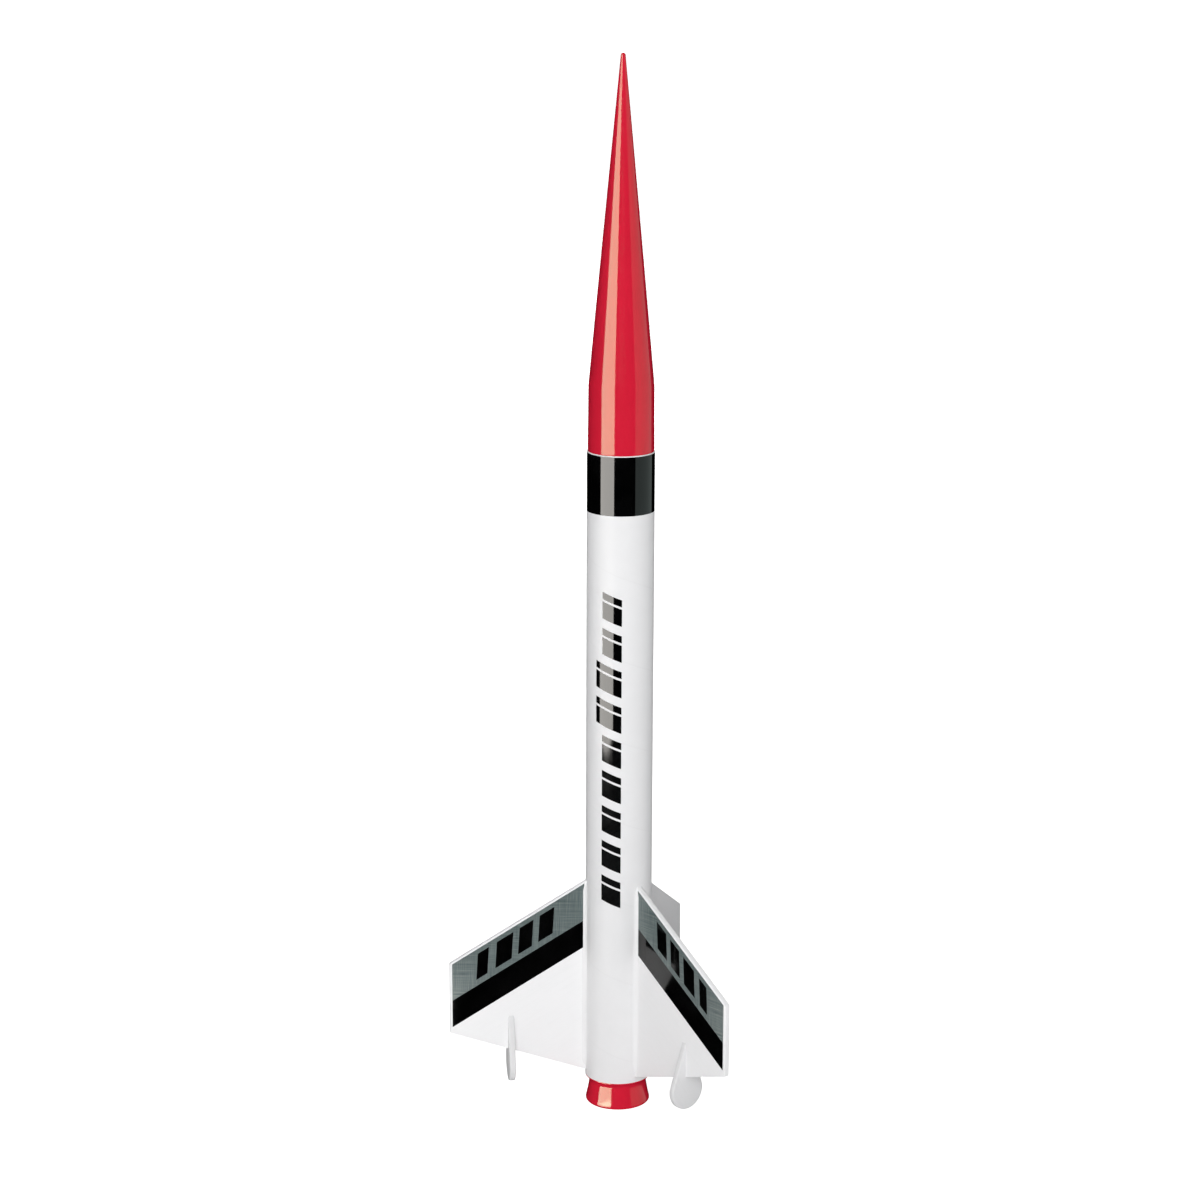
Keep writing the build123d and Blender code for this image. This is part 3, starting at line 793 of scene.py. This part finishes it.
def make_brushed_effect():
    """Fine crossed strokes, as printed to look like brushed metal."""
    effect, takes, gives = new_effect("brushed_print", {"Turn": 0.0}, ("Strokes",))
    turned = put_node(effect, "VectorRotate", {"Vector": takes["Place"], "Angle": takes["Turn"]},
                      rotation_type="Y_AXIS")
    strokes = []
    for stretch in ((55.0, 1.0, 3000.0), (3000.0, 1.0, 55.0)):
        stroke = noise(effect, turned.outputs[0], detail=3.0, stretch=stretch)
        strokes.append(sharpened(effect, stroke, 0.35, 0.72))
    share = sharpened(effect, noise(effect, takes["Place"], 190.0), 0.3, 0.7)
    mixed = put_node(effect, "Mix", {0: share, 2: strokes[0], 3: strokes[1]})
    effect.links.new(mixed.outputs[0], gives.inputs["Strokes"])
    return effect


def make_bar_print():
    """Black print that turns to dark brushed strokes towards its lower end."""
    finish, tree, shader, place = new_finish("bar_print", (0.005, 0.005, 0.006), 0.07)
    brushed = use_effect(tree, brushed_print, place, Turn=0.6)
    height = put_node(tree, "SeparateXYZ", {0: place}).outputs[2]
    lower = sharpened(tree, height, GRAPHIC_FADE_TOP, GRAPHIC_FADE_BOTTOM)
    share = sum_up(tree, "MULTIPLY", lower, brushed["Strokes"])
    skin = use_effect(tree, surface_skin, place, Size=1.6, Depth=0.0020)
    dress(tree, shader, skin["Height"], tint(tree, share, (0.001, 0.001, 0.0012), (0.012, 0.013, 0.013)),
          scaled(tree, skin["Smudge"], 0.05, 0.12))
    return finish


def face_towards(piece, direction):
    """Turns an open sheet's faces over if they look away from a direction."""
    if piece.data.polygons[0].normal.dot(Vector(direction)) < 0:
        piece.data.flip_normals()


def lay_bar(left, low, height):
    """One slanted bar of film, drawn flat in front of the tube, then pressed onto it."""
    slope = GRAPHIC_SLANT / (GRAPHIC_RIGHT - GRAPHIC_LEFT)
    left_low = low + slope * (left - GRAPHIC_LEFT)
    right_low = low + GRAPHIC_SLANT
    corners = [(left, left_low), (GRAPHIC_RIGHT, right_low),
               (GRAPHIC_RIGHT, right_low + height), (left, left_low + height)]
    bar = fill_outline("bar", [(x, -BODY_TUBE_OUTER - 5, z) for x, z in corners])
    bpy.ops.mesh.subdivide(number_cuts=14)
    leave_mesh()
    face_towards(bar, (0, -1, 0))
    pressed = bar.modifiers.new("pressed_on", "SHRINKWRAP")
    pressed.wrap_method = "PROJECT"
    pressed.use_project_y = True
    pressed.use_positive_direction = True
    pressed.use_negative_direction = False
    pressed.target = body_tube
    thicken(bar, DECAL_THICKNESS, 1.0)
    return bar


brushed_print = make_brushed_effect()
bars = []
for number in range(GRAPHIC_PAIRS):
    left = GRAPHIC_WIDE_LEFT if number in GRAPHIC_WIDE_PAIRS else GRAPHIC_LEFT
    low = GRAPHIC_BOTTOM + number * GRAPHIC_PITCH
    bars.append(lay_bar(left, low, GRAPHIC_THICK_BAR))
    bars.append(lay_bar(left, low + GRAPHIC_THICK_BAR + GRAPHIC_GAP, GRAPHIC_THIN_BAR))
graphic = join_pieces("tube_graphic_film", bars)
cover(graphic, make_bar_print())
place_piece(graphic, "airframe", "band_black", "tube_graphic")


# --- Fin decals -------------------------------------------------------------------------------
# Printed film on the front faces of the two forward fins: a brushed silver-grey panel along
# the leading edge with four plain black bars in it, and a black band below.
FIN_DECAL_INNER = 13.2
FIN_DECAL_OUTER = 63.1
FIN_DECAL_TOP = 0.62
FIN_DECAL_BAND = 15.1
FIN_DECAL_BOTTOM = 25.7
FIN_BAR_ROWS = (2.6, 12.6)
FIN_BAR_COLUMNS = ((24.5, 30.0), (32.4, 37.6), (40.0, 46.2), (49.2, 53.4))
FIN_BAR_LEAN = 0.06
SILVER, BLACK = 0, 1


def make_silver_print():
    """Grey print with fine crossed strokes, slightly glossy, slightly green."""
    finish, tree, shader, place = new_finish("decal_print", (0.15, 0.18, 0.175), 0.2)
    flat = tree.nodes.new("ShaderNodeUVMap").outputs[0]
    stood = put_node(tree, "VectorRotate", {"Vector": flat, "Angle": math.pi / 2},
                     rotation_type="X_AXIS")
    brushed = use_effect(tree, brushed_print, stood.outputs[0], Turn=0.05)
    skin = use_effect(tree, surface_skin, place, Size=1.8, Depth=0.002)
    dress(tree, shader, skin["Height"],
          tint(tree, brushed["Strokes"], (0.088, 0.118, 0.118), (0.215, 0.256, 0.252)),
          scaled(tree, brushed["Strokes"], 0.16, 0.30))
    return finish


def print_on(face):
    """Which print a part of the decal's flat sheet carries."""
    radius, depth = face.center.x / MM, lead_edge(face.center.x / MM) - face.center.z / MM
    column = radius - FIN_BAR_LEAN * (depth - FIN_BAR_ROWS[0])
    in_row = FIN_BAR_ROWS[0] < depth < FIN_BAR_ROWS[1]
    in_bar = in_row and any(start < column < end for start, end in FIN_BAR_COLUMNS)
    return BLACK if in_bar or depth > FIN_DECAL_BAND else SILVER


def make_fin_decal(name, face_side):
    """One printed sheet, cut up along the lines of its print, on one face of the fin along X."""
    corners = ((FIN_DECAL_INNER, FIN_DECAL_BOTTOM), (FIN_DECAL_OUTER, FIN_DECAL_BOTTOM),
               (FIN_DECAL_OUTER, FIN_DECAL_TOP), (FIN_DECAL_INNER, FIN_DECAL_TOP))
    decal = fill_outline(name, [(x, face_side * FIN_HALF, lead_edge(x) - depth) for x, depth in corners])
    rows = [(FIN_DECAL_INNER, depth, (-FIN_SLOPE, 0, 1)) for depth in (FIN_DECAL_BAND, *FIN_BAR_ROWS)]
    columns = [(x, FIN_BAR_ROWS[0], (1 - FIN_BAR_LEAN * FIN_SLOPE, 0, FIN_BAR_LEAN))
               for ends in FIN_BAR_COLUMNS for x in ends]
    for x, depth, across in rows + columns:
        hold()
        bpy.ops.mesh.bisect(plane_co=(x * MM, 0, (lead_edge(x) - depth) * MM), plane_no=across)
    hold()
    bpy.ops.mesh.normals_make_consistent(inside=False)
    leave_mesh()
    face_towards(decal, (0, face_side, 0))
    cover(decal, silver_print, gloss_black)
    for face in decal.data.polygons:
        face.material_index = print_on(face)
    thicken(decal, DECAL_THICKNESS, 1.0)
    lay_flat_map(decal)
    return decal


silver_print = make_silver_print()
for name, face_side in (("right", -1), ("left", 1)):
    decal = make_fin_decal("fin_decal_" + name + "_film", face_side)
    decal.rotation_euler.z = math.radians(FIN_DIRECTIONS[name])
    place_piece(decal, "airframe", "decal_print", "fin_decal_" + name)


# --- Shock cord anchor ------------------------------------------------------------------------
# A strip of paper folded in three over the end of the shock cord and glued inside the tube,
# far enough down to leave room for the nose cone's shoulder.
ANCHOR_HALF_ANGLE = 31.0
ANCHOR_LAYER = 0.3
bottom, top = span("shock_cord_anchor")
layers = []
for number in range(3):
    outer = BODY_TUBE_INNER - number * ANCHOR_LAYER
    low, high = bottom + number * 0.6, top - number * 0.5
    half_angle = math.radians(ANCHOR_HALF_ANGLE - number * 1.5)
    layer = fill_outline("fold", [(outer, 0, low), (outer, 0, high), (outer - ANCHOR_LAYER, 0, high),
                                  (outer - ANCHOR_LAYER, 0, low)])
    bpy.ops.mesh.spin(steps=24, angle=2 * half_angle, center=(0, 0, 0), axis=(0, 0, 1))
    close_skin()
    layer.rotation_euler.z = half_angle
    fix_place(layer)
    layers.append(layer)
anchor = join_pieces("shock_cord_anchor_folded", layers)
soften_edges(anchor, 0.06)
cover(anchor, make_plain("anchor_paper", (0.80, 0.78, 0.72), 0.7, (0.7, 0.04),
                         (0.82, 0.80, 0.74), (0.70, 0.66, 0.56)))
place_piece(anchor, "airframe", "anchor_paper", "shock_cord_anchor")


# --- Nose cone --------------------------------------------------------------------------------
# Red plastic, blown into a two-part mould: a long point with a small ball tip, a short
# cylinder, and a shoulder that slides in the tube. The mould leaves a fine line up each side.
NOSE_BALL = 0.9
NOSE_BASE = 12.2
NOSE_BREAK = 12.0
NOSE_BREAK_HEIGHT = 276.0
NOSE_MID = 6.0
NOSE_MID_HEIGHT = 340.0
NOSE_WALL = 1.1
SHOULDER = 12.0
PARTING_LINE = 21.0
PARTING_RIDGE = 1.0035

shoulder_bottom, nose_top = span("nose_cone")


def cone_side(inset, count):
    """The cone's bowed side from its tip to its break, outside or at an inset."""
    ball = (max(NOSE_BALL - inset, 0.3), nose_top - NOSE_BALL - 8 * inset)
    low = (NOSE_BREAK - inset, NOSE_BREAK_HEIGHT)
    return arc_points(ball, (NOSE_MID - inset, NOSE_MID_HEIGHT), low, count) + [low]


tip = (0.0, nose_top)
ball_side = (NOSE_BALL * math.sin(math.radians(50)), nose_top - NOSE_BALL * 0.36)
nose_outline = arc_points(tip, ball_side, (NOSE_BALL, nose_top - NOSE_BALL), 6)
nose_outline[0] = tip
nose_outline += cone_side(0, 36)
nose_outline += [(NOSE_BREAK + 0.08, NOSE_BREAK_HEIGHT - 10), (NOSE_BASE - 0.01, tube_top + 0.6),
                 (NOSE_BASE, tube_top + 0.35), (NOSE_BASE - 0.08, tube_top + 0.02),
                 (SHOULDER, tube_top), (SHOULDER, shoulder_bottom + 1.2),
                 (SHOULDER - 0.25, shoulder_bottom + 0.3), (SHOULDER - 0.6, shoulder_bottom),
                 (SHOULDER - NOSE_WALL, shoulder_bottom),
                 (SHOULDER - NOSE_WALL, tube_top - NOSE_WALL)]
nose_outline += cone_side(NOSE_WALL, 12)[::-1] + [(0.0, nose_top - 8 * NOSE_WALL)]
nose_cone = turn_on_lathe("nose_cone_moulded", nose_outline, steps=144)
take_up(nose_cone)
bpy.ops.object.mode_set(mode="EDIT")
bpy.ops.mesh.select_mode(type="VERT")
hold("DESELECT")
mesh = bmesh.from_edit_mesh(nose_cone.data)
for corner in mesh.verts:
    around = math.degrees(math.atan2(corner.co.y, corner.co.x)) % 180
    outside = corner.co.xy.length > (SHOULDER - 0.02) * MM or corner.co.z > NOSE_BREAK_HEIGHT * MM
    inner_wall = corner.co.z < (nose_top - 9) * MM and corner.normal.xy.dot(corner.co.xy) < 0
    if min(around, 180 - around) < 0.5 and corner.co.z > (tube_top + 0.1) * MM and outside:
        corner.select_set(not inner_wall)
bmesh.update_edit_mesh(nose_cone.data)
bpy.ops.transform.resize(value=(PARTING_RIDGE, PARTING_RIDGE, 1), center_override=(0, 0, 0))
leave_mesh()
nose_cone.rotation_euler.z = math.radians(PARTING_LINE)
cover(nose_cone, make_gloss_red("nose_red"))
place_piece(nose_cone, "nose", "nose_red", "nose_cone", smooth=38)


# --- Nose base plug ---------------------------------------------------------------------------
# A moulded plastic cap pressed into the end of the shoulder. The cord and the parachute's
# lines are tied to the loop below it.
LOOP_OUTER = 3.6
LOOP_INNER = 2.3
LOOP_HALF_WIDTH = 1.2
PLUG_THICKNESS = 2.0
PLUG_SPIGOT = 4.0
plug_bottom = shoulder_bottom - PLUG_THICKNESS
spigot = SHOULDER - NOSE_WALL
plug = turn_on_lathe("nose_base_plug_moulded", [
    (0.0, plug_bottom), (LOOP_OUTER + 1.2, plug_bottom), (LOOP_OUTER + 1.5, plug_bottom + 0.35),
    (SHOULDER - 2.2, plug_bottom + 0.35), (SHOULDER - 1.9, plug_bottom), (SHOULDER - 0.4, plug_bottom),
    (SHOULDER, plug_bottom + 0.4), (SHOULDER, shoulder_bottom - 0.15), (SHOULDER - 0.15, shoulder_bottom),
    (spigot, shoulder_bottom), (spigot, shoulder_bottom + PLUG_SPIGOT - 0.4),
    (spigot - 0.4, shoulder_bottom + PLUG_SPIGOT), (spigot - NOSE_WALL, shoulder_bottom + PLUG_SPIGOT),
    (spigot - NOSE_WALL, shoulder_bottom), (0.0, shoulder_bottom)])
loop = turn_ring("loop", LOOP_INNER, LOOP_OUTER, -LOOP_HALF_WIDTH, LOOP_HALF_WIDTH, 48)
soften_edges(loop, 0.4, 4)
loop.rotation_euler.x = math.pi / 2
loop.location.z = (plug_bottom - LOOP_INNER) * MM
fix_place(loop)
combine(plug, loop, "UNION")
cover(plug, make_plain("plug_plastic", (0.75, 0.74, 0.70), 0.42, (0.5, 0.012),
                       (0.77, 0.76, 0.72), (0.66, 0.64, 0.58), gloss=(0.36, 0.52)))
place_piece(plug, "nose", "plug_plastic", "nose_base_plug")


# --- Shock cord -------------------------------------------------------------------------------
# 457 mm of flat woven elastic, 3.2 mm wide: glued under the anchor, led down the tube's wall,
# coiled up round the parachute, and tied to the nose cone's loop.
CORD_WIDTH = 3.2
CORD_THICKNESS = 0.7
CORD_LEAD_INNER = 10.3
CORD_COIL = 9.9
CORD_TURNS = 4.65
CORD_COIL_TOP = 157.0
CORD_RISE = ((14, 1.2), (27, 4.0), (37, 8.5), (44, 14.0), (49, 21.0))
CORD_RUN = ((53, 29.0), (57, 38.0), (59, 43.0))
CORD_TIE = 1.1
CORD_TIE_THICKNESS = 0.9
KNOT_DROP = 1.9
LOOP_TIE_HEIGHT = plug_bottom - LOOP_INNER - (LOOP_INNER + LOOP_OUTER) / 2


def lay_strip(name, points, width, thickness=0.0, twist="MINIMUM", fine=3):
    """Lays a strip of a width and a thickness along a smooth line through points in mm, as a
    mesh in edit mode."""
    bpy.ops.object.select_all(action="DESELECT")
    bpy.ops.curve.primitive_nurbs_path_add()
    laid = bpy.context.object
    laid.name = name
    line = laid.data.splines[0]
    line.points.add(len(points) - len(line.points))
    for knot, point in zip(line.points, points):
        knot.co = (*(Vector(point) * MM), 1.0)
    line.order_u = 3
    line.use_endpoint_u = True
    line.resolution_u = fine
    laid.data.resolution_u = fine
    laid.data.twist_mode = twist
    laid.data.extrude = (width - thickness) / 2 * MM
    laid.data.bevel_depth = thickness / 2 * MM
    laid.data.bevel_resolution = 1
    laid.data.use_fill_caps = thickness > 0
    bpy.ops.object.convert(target="MESH")
    bpy.ops.object.mode_set(mode="EDIT")
    return bpy.context.object


def lay_thread(name, points, thickness, width=0.0, **more):
    """Lays a thread, or a strap if it has a width, with its skin closed."""
    laid = lay_strip(name, points, max(width, thickness), thickness, **more)
    close_skin()
    return laid


def round_axis(turn, height, radius):
    """A point beside the axis, at a turn in degrees."""
    angle = math.radians(turn)
    return Vector((radius * math.cos(angle), radius * math.sin(angle), height))


def helix(radius, bottom, top, turns, start=0.0):
    """Points of a helix round the axis, in mm."""
    count = int(turns * 12)
    return [round_axis(start + 360 * turns * step / count, bottom + (top - bottom) * step / count, radius)
            for step in range(count + 1)]


def make_elastic():
    """Woven elastic: rubber threads along it, held by crossing cotton."""
    finish, tree, shader, place = new_finish("elastic", (0.82, 0.80, 0.76), 0.8, Sheen_Weight=0.25)
    flat = tree.nodes.new("ShaderNodeUVMap").outputs[0]
    parts = put_node(tree, "SeparateXYZ", {0: flat}).outputs
    ribs = sum_up(tree, "SINE", sum_up(tree, "MULTIPLY", parts[1], 2 * math.pi * 10))
    picks = sum_up(tree, "SINE", sum_up(tree, "MULTIPLY", parts[0], 2 * math.pi * 520))
    weave = sum_up(tree, "MULTIPLY_ADD", ribs, 0.35, sum_up(tree, "MULTIPLY", picks, 0.15))
    skin = use_effect(tree, surface_skin, place, Size=0.4, Depth=0.03)
    # The weave's colour is lighter on its raised ribs and darker in its grooves, which is painted shade,
    # mixed with real smudges.
    tone = sum_up(tree, "SUBTRACT", scaled(tree, skin["Smudge"], 0.3, 0.7), weave)
    dress(tree, shader, sum_up(tree, "MULTIPLY_ADD", weave, 0.12, skin["Height"]),
          tint(tree, tone, (0.86, 0.84, 0.80), (0.58, 0.55, 0.50)))
    return finish


def tie_knot(name, place, size, thickness):
    """A small overhand knot pulled tight round a point."""
    points = []
    for step in range(25):
        turn = 2 * math.pi * step / 24
        points.append((place[0] + size * (math.sin(turn) + 2 * math.sin(2 * turn)) / 3,
                       place[1] + size * (math.cos(turn) - 2 * math.cos(2 * turn)) / 3,
                       place[2] - size * math.sin(3 * turn) / 2))
    return lay_thread(name, points, thickness)


def tie_round(side, lift, thickness):
    """A turn of thread or cord round the bottom of the plug's loop, to one side of its middle."""
    tall, wide = 0.75 + thickness / 2, LOOP_HALF_WIDTH + 0.12 + thickness / 2
    points = []
    for step in range(17):
        turn = math.pi * (2 * step / 16 - 1)
        points.append((side, wide * math.sin(turn), LOOP_TIE_HEIGHT + lift / 2 + tall * math.cos(turn)))
    return lay_thread("turn", points, thickness)


elastic = make_elastic()
cord_bottom, cord_top = span("shock_cord")
lead_radius = CORD_LEAD_INNER + CORD_THICKNESS / 2
lead_heights = (cord_bottom, cord_bottom + 2, 140, 160, 180, cord_top - 2, cord_top)
lead = lay_thread("shock_cord_lead", [(lead_radius, 0, height) for height in lead_heights],
                  CORD_THICKNESS, CORD_WIDTH)
cover(lead, elastic)
place_piece(lead, "airframe", "elastic")

coil_end = 360 * CORD_TURNS
path = helix(CORD_COIL, cord_bottom + CORD_WIDTH / 2, CORD_COIL_TOP, CORD_TURNS)
for rise, radius in ((CORD_RISE, CORD_COIL), (CORD_RUN, CORD_COIL - 0.4)):
    path += [round_axis(coil_end + turn, CORD_COIL_TOP + height, radius) for turn, height in rise]
coil = lay_thread("shock_cord_coil", path, CORD_THICKNESS, CORD_WIDTH, twist="Z_UP")
path = [round_axis(coil_end + turn, CORD_COIL_TOP + height, CORD_COIL - inset) for turn, height, inset in
        ((58.8, 42.5, 0.4), (60.2, 46.0, 0.4), (61, 50.0, 1.8), (62, 54.5, 5.0))]
path += [(CORD_TIE, -2.0, 214.6), (CORD_TIE, -0.9, LOOP_TIE_HEIGHT - 2.6),
         (CORD_TIE, -0.2, LOOP_TIE_HEIGHT - 1.4)]
coil = join_pieces("shock_cord_coil", [
    coil, lay_thread("run", path, CORD_THICKNESS, CORD_WIDTH, fine=6),
    tie_round(CORD_TIE, 0.45, CORD_TIE_THICKNESS),
    tie_knot("knot", (CORD_TIE, 0, LOOP_TIE_HEIGHT - KNOT_DROP), 1.15, CORD_TIE_THICKNESS)])
cover(coil, elastic)
settle(coil, 40)
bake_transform(coil)
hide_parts("shock_cord")


# --- Parachute canopy -------------------------------------------------------------------------
# A 305 mm hexagon of thin plastic sheet in orange and white panels, folded to a spike and
# rolled up tight, with its edges a little uneven at both ends of the roll.
CANOPY_OUTER = 7.42
CANOPY_INNER = 0.9
CANOPY_PITCH = 0.19
CANOPY_FILM = 0.05
CANOPY_PANELS = 26.4
CANOPY_WHITE = 0.66


def make_canopy_film():
    """Orange and white sheet, with soft creases."""
    finish, tree, shader, place = new_finish("canopy_film", (0.85, 0.30, 0.05), 0.28)
    flat = tree.nodes.new("ShaderNodeUVMap").outputs[0]
    along = put_node(tree, "SeparateXYZ", {0: flat}).outputs[0]
    panel = sum_up(tree, "FRACT", sum_up(tree, "MULTIPLY", along, CANOPY_PANELS))
    white = sum_up(tree, "GREATER_THAN", panel, CANOPY_WHITE)
    skin = use_effect(tree, surface_skin, place, Size=3.0, Depth=0.10)
    tone = tint(tree, skin["Smudge"], (0.90, 0.20, 0.02), (0.74, 0.15, 0.015))
    colour = put_node(tree, "Mix", {0: white, 6: tone, 7: (0.82, 0.82, 0.80, 1)}, data_type="RGBA")
    creases = noise(tree, place, detail=4.0, stretch=(500.0, 500.0, 45.0))
    dress(tree, shader, sum_up(tree, "MULTIPLY_ADD", creases, 0.25, skin["Height"]),
          colour.outputs[2])
    return finish


canopy_bottom, canopy_top = span("parachute_canopy")
steps = int((CANOPY_OUTER - CANOPY_INNER) / CANOPY_PITCH * 12)
canopy = lay_strip("parachute_canopy_rolled", [
    round_axis(30 * step, (canopy_bottom + canopy_top) / 2, CANOPY_INNER + CANOPY_PITCH * step / 12)
    for step in range(steps + 1)], canopy_top - canopy_bottom - 1.6, twist="Z_UP")
slice_across([canopy_bottom + 4, canopy_bottom + 22, 147, canopy_top - 22, canopy_top - 4])
leave_mesh()
for corner in canopy.data.vertices:
    place = corner.co / MM
    radius, angle = place.xy.length, math.atan2(place.y, place.x)
    edge_shrink = max(0.0, radius - 5.2) ** 2 * 0.34
    uneven = 0.5 * math.sin(7.3 * radius) + 0.4 * math.sin(3 * angle + 4.1 * radius)
    end = (place.z < canopy_bottom + 3) - (place.z > canopy_top - 3)
    corner.co.z += end * (edge_shrink + 0.45 + 0.5 * uneven) * MM
    loose = 0.045 * math.sin(5 * angle + 0.21 * place.z) + 0.035 * math.sin(9 * angle - 0.13 * place.z)
    if radius > 2:
        corner.co.xy *= 1 + (loose - 0.06) * min(1.0, radius / 7) / radius
thicken(canopy, CANOPY_FILM, 0.0)
cover(canopy, make_canopy_film())
place_piece(canopy, "nose", "canopy_film", "parachute_canopy", smooth=50)


# --- Shroud lines -----------------------------------------------------------------------------
# Six lines of twisted thread, 305 mm each, from the canopy's corners. They are wound down and
# up the rolled canopy, then brought together and tied to the nose cone's loop.
LINE_THICKNESS = 0.5
LINE_INNER_WIND = 7.86
LINE_OUTER_WIND = 8.36
LINE_TURNS = 16.5
LINE_WIND_TOP = 171.4
LINE_TIE = -0.9
LINE_TIE_THICKNESS = 0.6


def make_thread():
    """Off-white thread with its twist."""
    finish, tree, shader, place = new_finish("line_thread", (0.80, 0.78, 0.74), 0.75)
    flat = tree.nodes.new("ShaderNodeUVMap").outputs[0]
    parts = put_node(tree, "SeparateXYZ", {0: flat}).outputs
    lay = sum_up(tree, "MULTIPLY_ADD", parts[0], 2000.0, sum_up(tree, "MULTIPLY", parts[1], 12.57))
    ply = sum_up(tree, "SINE", lay)
    skin = use_effect(tree, surface_skin, place, Size=0.3, Depth=0.03)
    # The thread's colour is lighter on its plies and darker between them, which is painted shade, mixed
    # with real smudges.
    tone = sum_up(tree, "MULTIPLY_ADD", ply, -0.3, scaled(tree, skin["Smudge"], 0.2, 0.6))
    dress(tree, shader, sum_up(tree, "MULTIPLY_ADD", ply, 0.04, skin["Height"]),
          tint(tree, tone, (0.85, 0.83, 0.79), (0.55, 0.52, 0.46)))
    return finish


lines_bottom = span("shroud_lines")[0] + 0.6
down = helix(LINE_INNER_WIND, LINE_WIND_TOP, lines_bottom, LINE_TURNS)
up = helix(LINE_OUTER_WIND, lines_bottom, LINE_WIND_TOP, LINE_TURNS, start=180)
threads = [lay_thread("down", down, LINE_THICKNESS), lay_thread("up", up, LINE_THICKNESS)]
for number in range(6):
    out = 60 * number + 20
    on = out + math.degrees(0.9)
    path = [round_axis(turn, height, radius) for turn, height, radius in (
        (out, 173, 7.86), (out, 179, 7.82), (out, 184, 7.5), (out, 187.2, 5.5), (on, 190, 1.6),
        (on, 195, 0.55), (on, 206, -0.55), (on, LOOP_TIE_HEIGHT - 2.0, 0.3))]
    path[-2].x += LINE_TIE / 2
    path[-1].x += LINE_TIE
    threads.append(lay_thread("line", path, LINE_THICKNESS, fine=6))
threads.append(tie_round(LINE_TIE, 0.3, LINE_TIE_THICKNESS))
threads.append(tie_knot("knot", (LINE_TIE, 0, LOOP_TIE_HEIGHT - KNOT_DROP), 0.9, LINE_TIE_THICKNESS))
lines = join_pieces("shroud_lines_wound", threads)
cover(lines, make_thread())
place_piece(lines, "nose", "line_thread", "shroud_lines", smooth=60)


# --- Floor and studio light -------------------------------------------------------------------
# A plain white table under an even white surround. Soft boxes on both sides and behind, and a
# small one by the tail, only make highlights; two broad ones only light the paint.
CAMERA_AZIMUTH = 21.65
ROCKET_MIDDLE = 0.2


def make_floor_finish():
    """Plain pale board."""
    finish, tree, shader, place = new_finish("floor_white", (0.86, 0.86, 0.86), 0.9,
                                             Specular_IOR_Level=0.1, Emission_Color=(1, 1, 1, 1))
    seen = tree.nodes.new("ShaderNodeLightPath").outputs["Is Camera Ray"]
    tree.links.new(scaled(tree, seen, 0.0, 0.82), shader.inputs["Emission Strength"])
    return finish


bpy.ops.object.select_all(action="DESELECT")
bpy.ops.mesh.primitive_circle_add(vertices=96, radius=30, fill_type="NGON")
floor = bpy.context.object
floor.name = "floor"
cover(floor, make_floor_finish())
floor.visible_glossy = False


def round_camera(azimuth, distance, height):
    """A place in metres, at an azimuth from the camera's side."""
    turn = math.radians(CAMERA_AZIMUTH + azimuth)
    return Vector((math.sin(turn) * distance, -math.cos(turn) * distance, height))


def add_light(name, azimuth, distance, height, width, tall, power, gloss, colour=(1, 1, 1)):
    """A soft box turned to the rocket: azimuth is from the camera's side, positive to its
    right. gloss says whether it makes highlights; the others only light the paint."""
    place = round_camera(azimuth, distance, height)
    bpy.ops.object.light_add(type="AREA", location=place)
    light = bpy.context.object
    light.name = name
    aim = Vector((0, 0, height if gloss else ROCKET_MIDDLE)) - place
    light.rotation_euler = aim.to_track_quat("-Z", "Y").to_euler()
    light.data.shape = "RECTANGLE"
    light.data.size = width
    light.data.size_y = tall
    light.data.energy = power
    light.data.color = colour
    light.visible_camera = False
    light.visible_glossy = gloss
    light.visible_diffuse = not gloss


add_light("left_strip", -46.5, 0.48, 0.38, 0.43, 0.76, 8.5, True, (1.0, 0.97, 0.92))
add_light("tail_strip", -46.5, 0.10, -0.008, 0.09, 0.050, 0.145, True, (1.0, 0.97, 0.92))
add_light("right_strip", 88.0, 0.60, 0.375, 0.95, 1.05, 2.1, True, (0.85, 1.0, 0.96))
add_light("back_strip", 180.0, 0.70, 0.40, 0.30, 0.80, 3.0, True)
add_light("front_key", -2.0, 1.6, 0.8, 1.0, 1.2, 18.0, False)
add_light("back_fill", 190.0, 1.6, 0.9, 1.2, 1.2, 6.0, False)

world = bpy.data.worlds.new("studio")
bpy.context.scene.world = world
world.use_nodes = True
sky = world.node_tree.nodes["Background"]
seen = world.node_tree.nodes.new("ShaderNodeLightPath").outputs["Is Camera Ray"]
world.node_tree.links.new(scaled(world.node_tree, seen, 0.36, 1.0), sky.inputs["Strength"])
sky.inputs["Color"].default_value = (1, 1, 1, 1)
world.cycles_visibility.glossy = False
bpy.context.scene.view_settings.view_transform = "Standard"
bpy.context.scene.view_settings.look = "None"


# --- Camera -----------------------------------------------------------------------------------
# A long lens a metre in front of the rocket, a little to the right of the print and above it.
CAMERA_DISTANCE = 1.0592
CAMERA_HEIGHT = 0.4552
CAMERA_PITCH = 13.75
CAMERA_YAW = 0.401
CAMERA_ROLL = 0.225
CAMERA_LENS = 89.1
bpy.ops.object.camera_add(location=round_camera(0, CAMERA_DISTANCE, CAMERA_HEIGHT))
camera = bpy.context.object
camera.name = "camera"
aim = (Matrix.Rotation(math.radians(CAMERA_AZIMUTH + CAMERA_YAW), 3, "Z")
       @ Matrix.Rotation(math.radians(90 - CAMERA_PITCH), 3, "X")
       @ Matrix.Rotation(math.radians(CAMERA_ROLL), 3, "Z"))
camera.rotation_euler = aim.to_euler()
camera.data.lens = CAMERA_LENS
camera.data.sensor_width = 36.0
camera.data.clip_start = 0.01
camera.data.clip_end = 100.0
bpy.context.scene.camera = camera
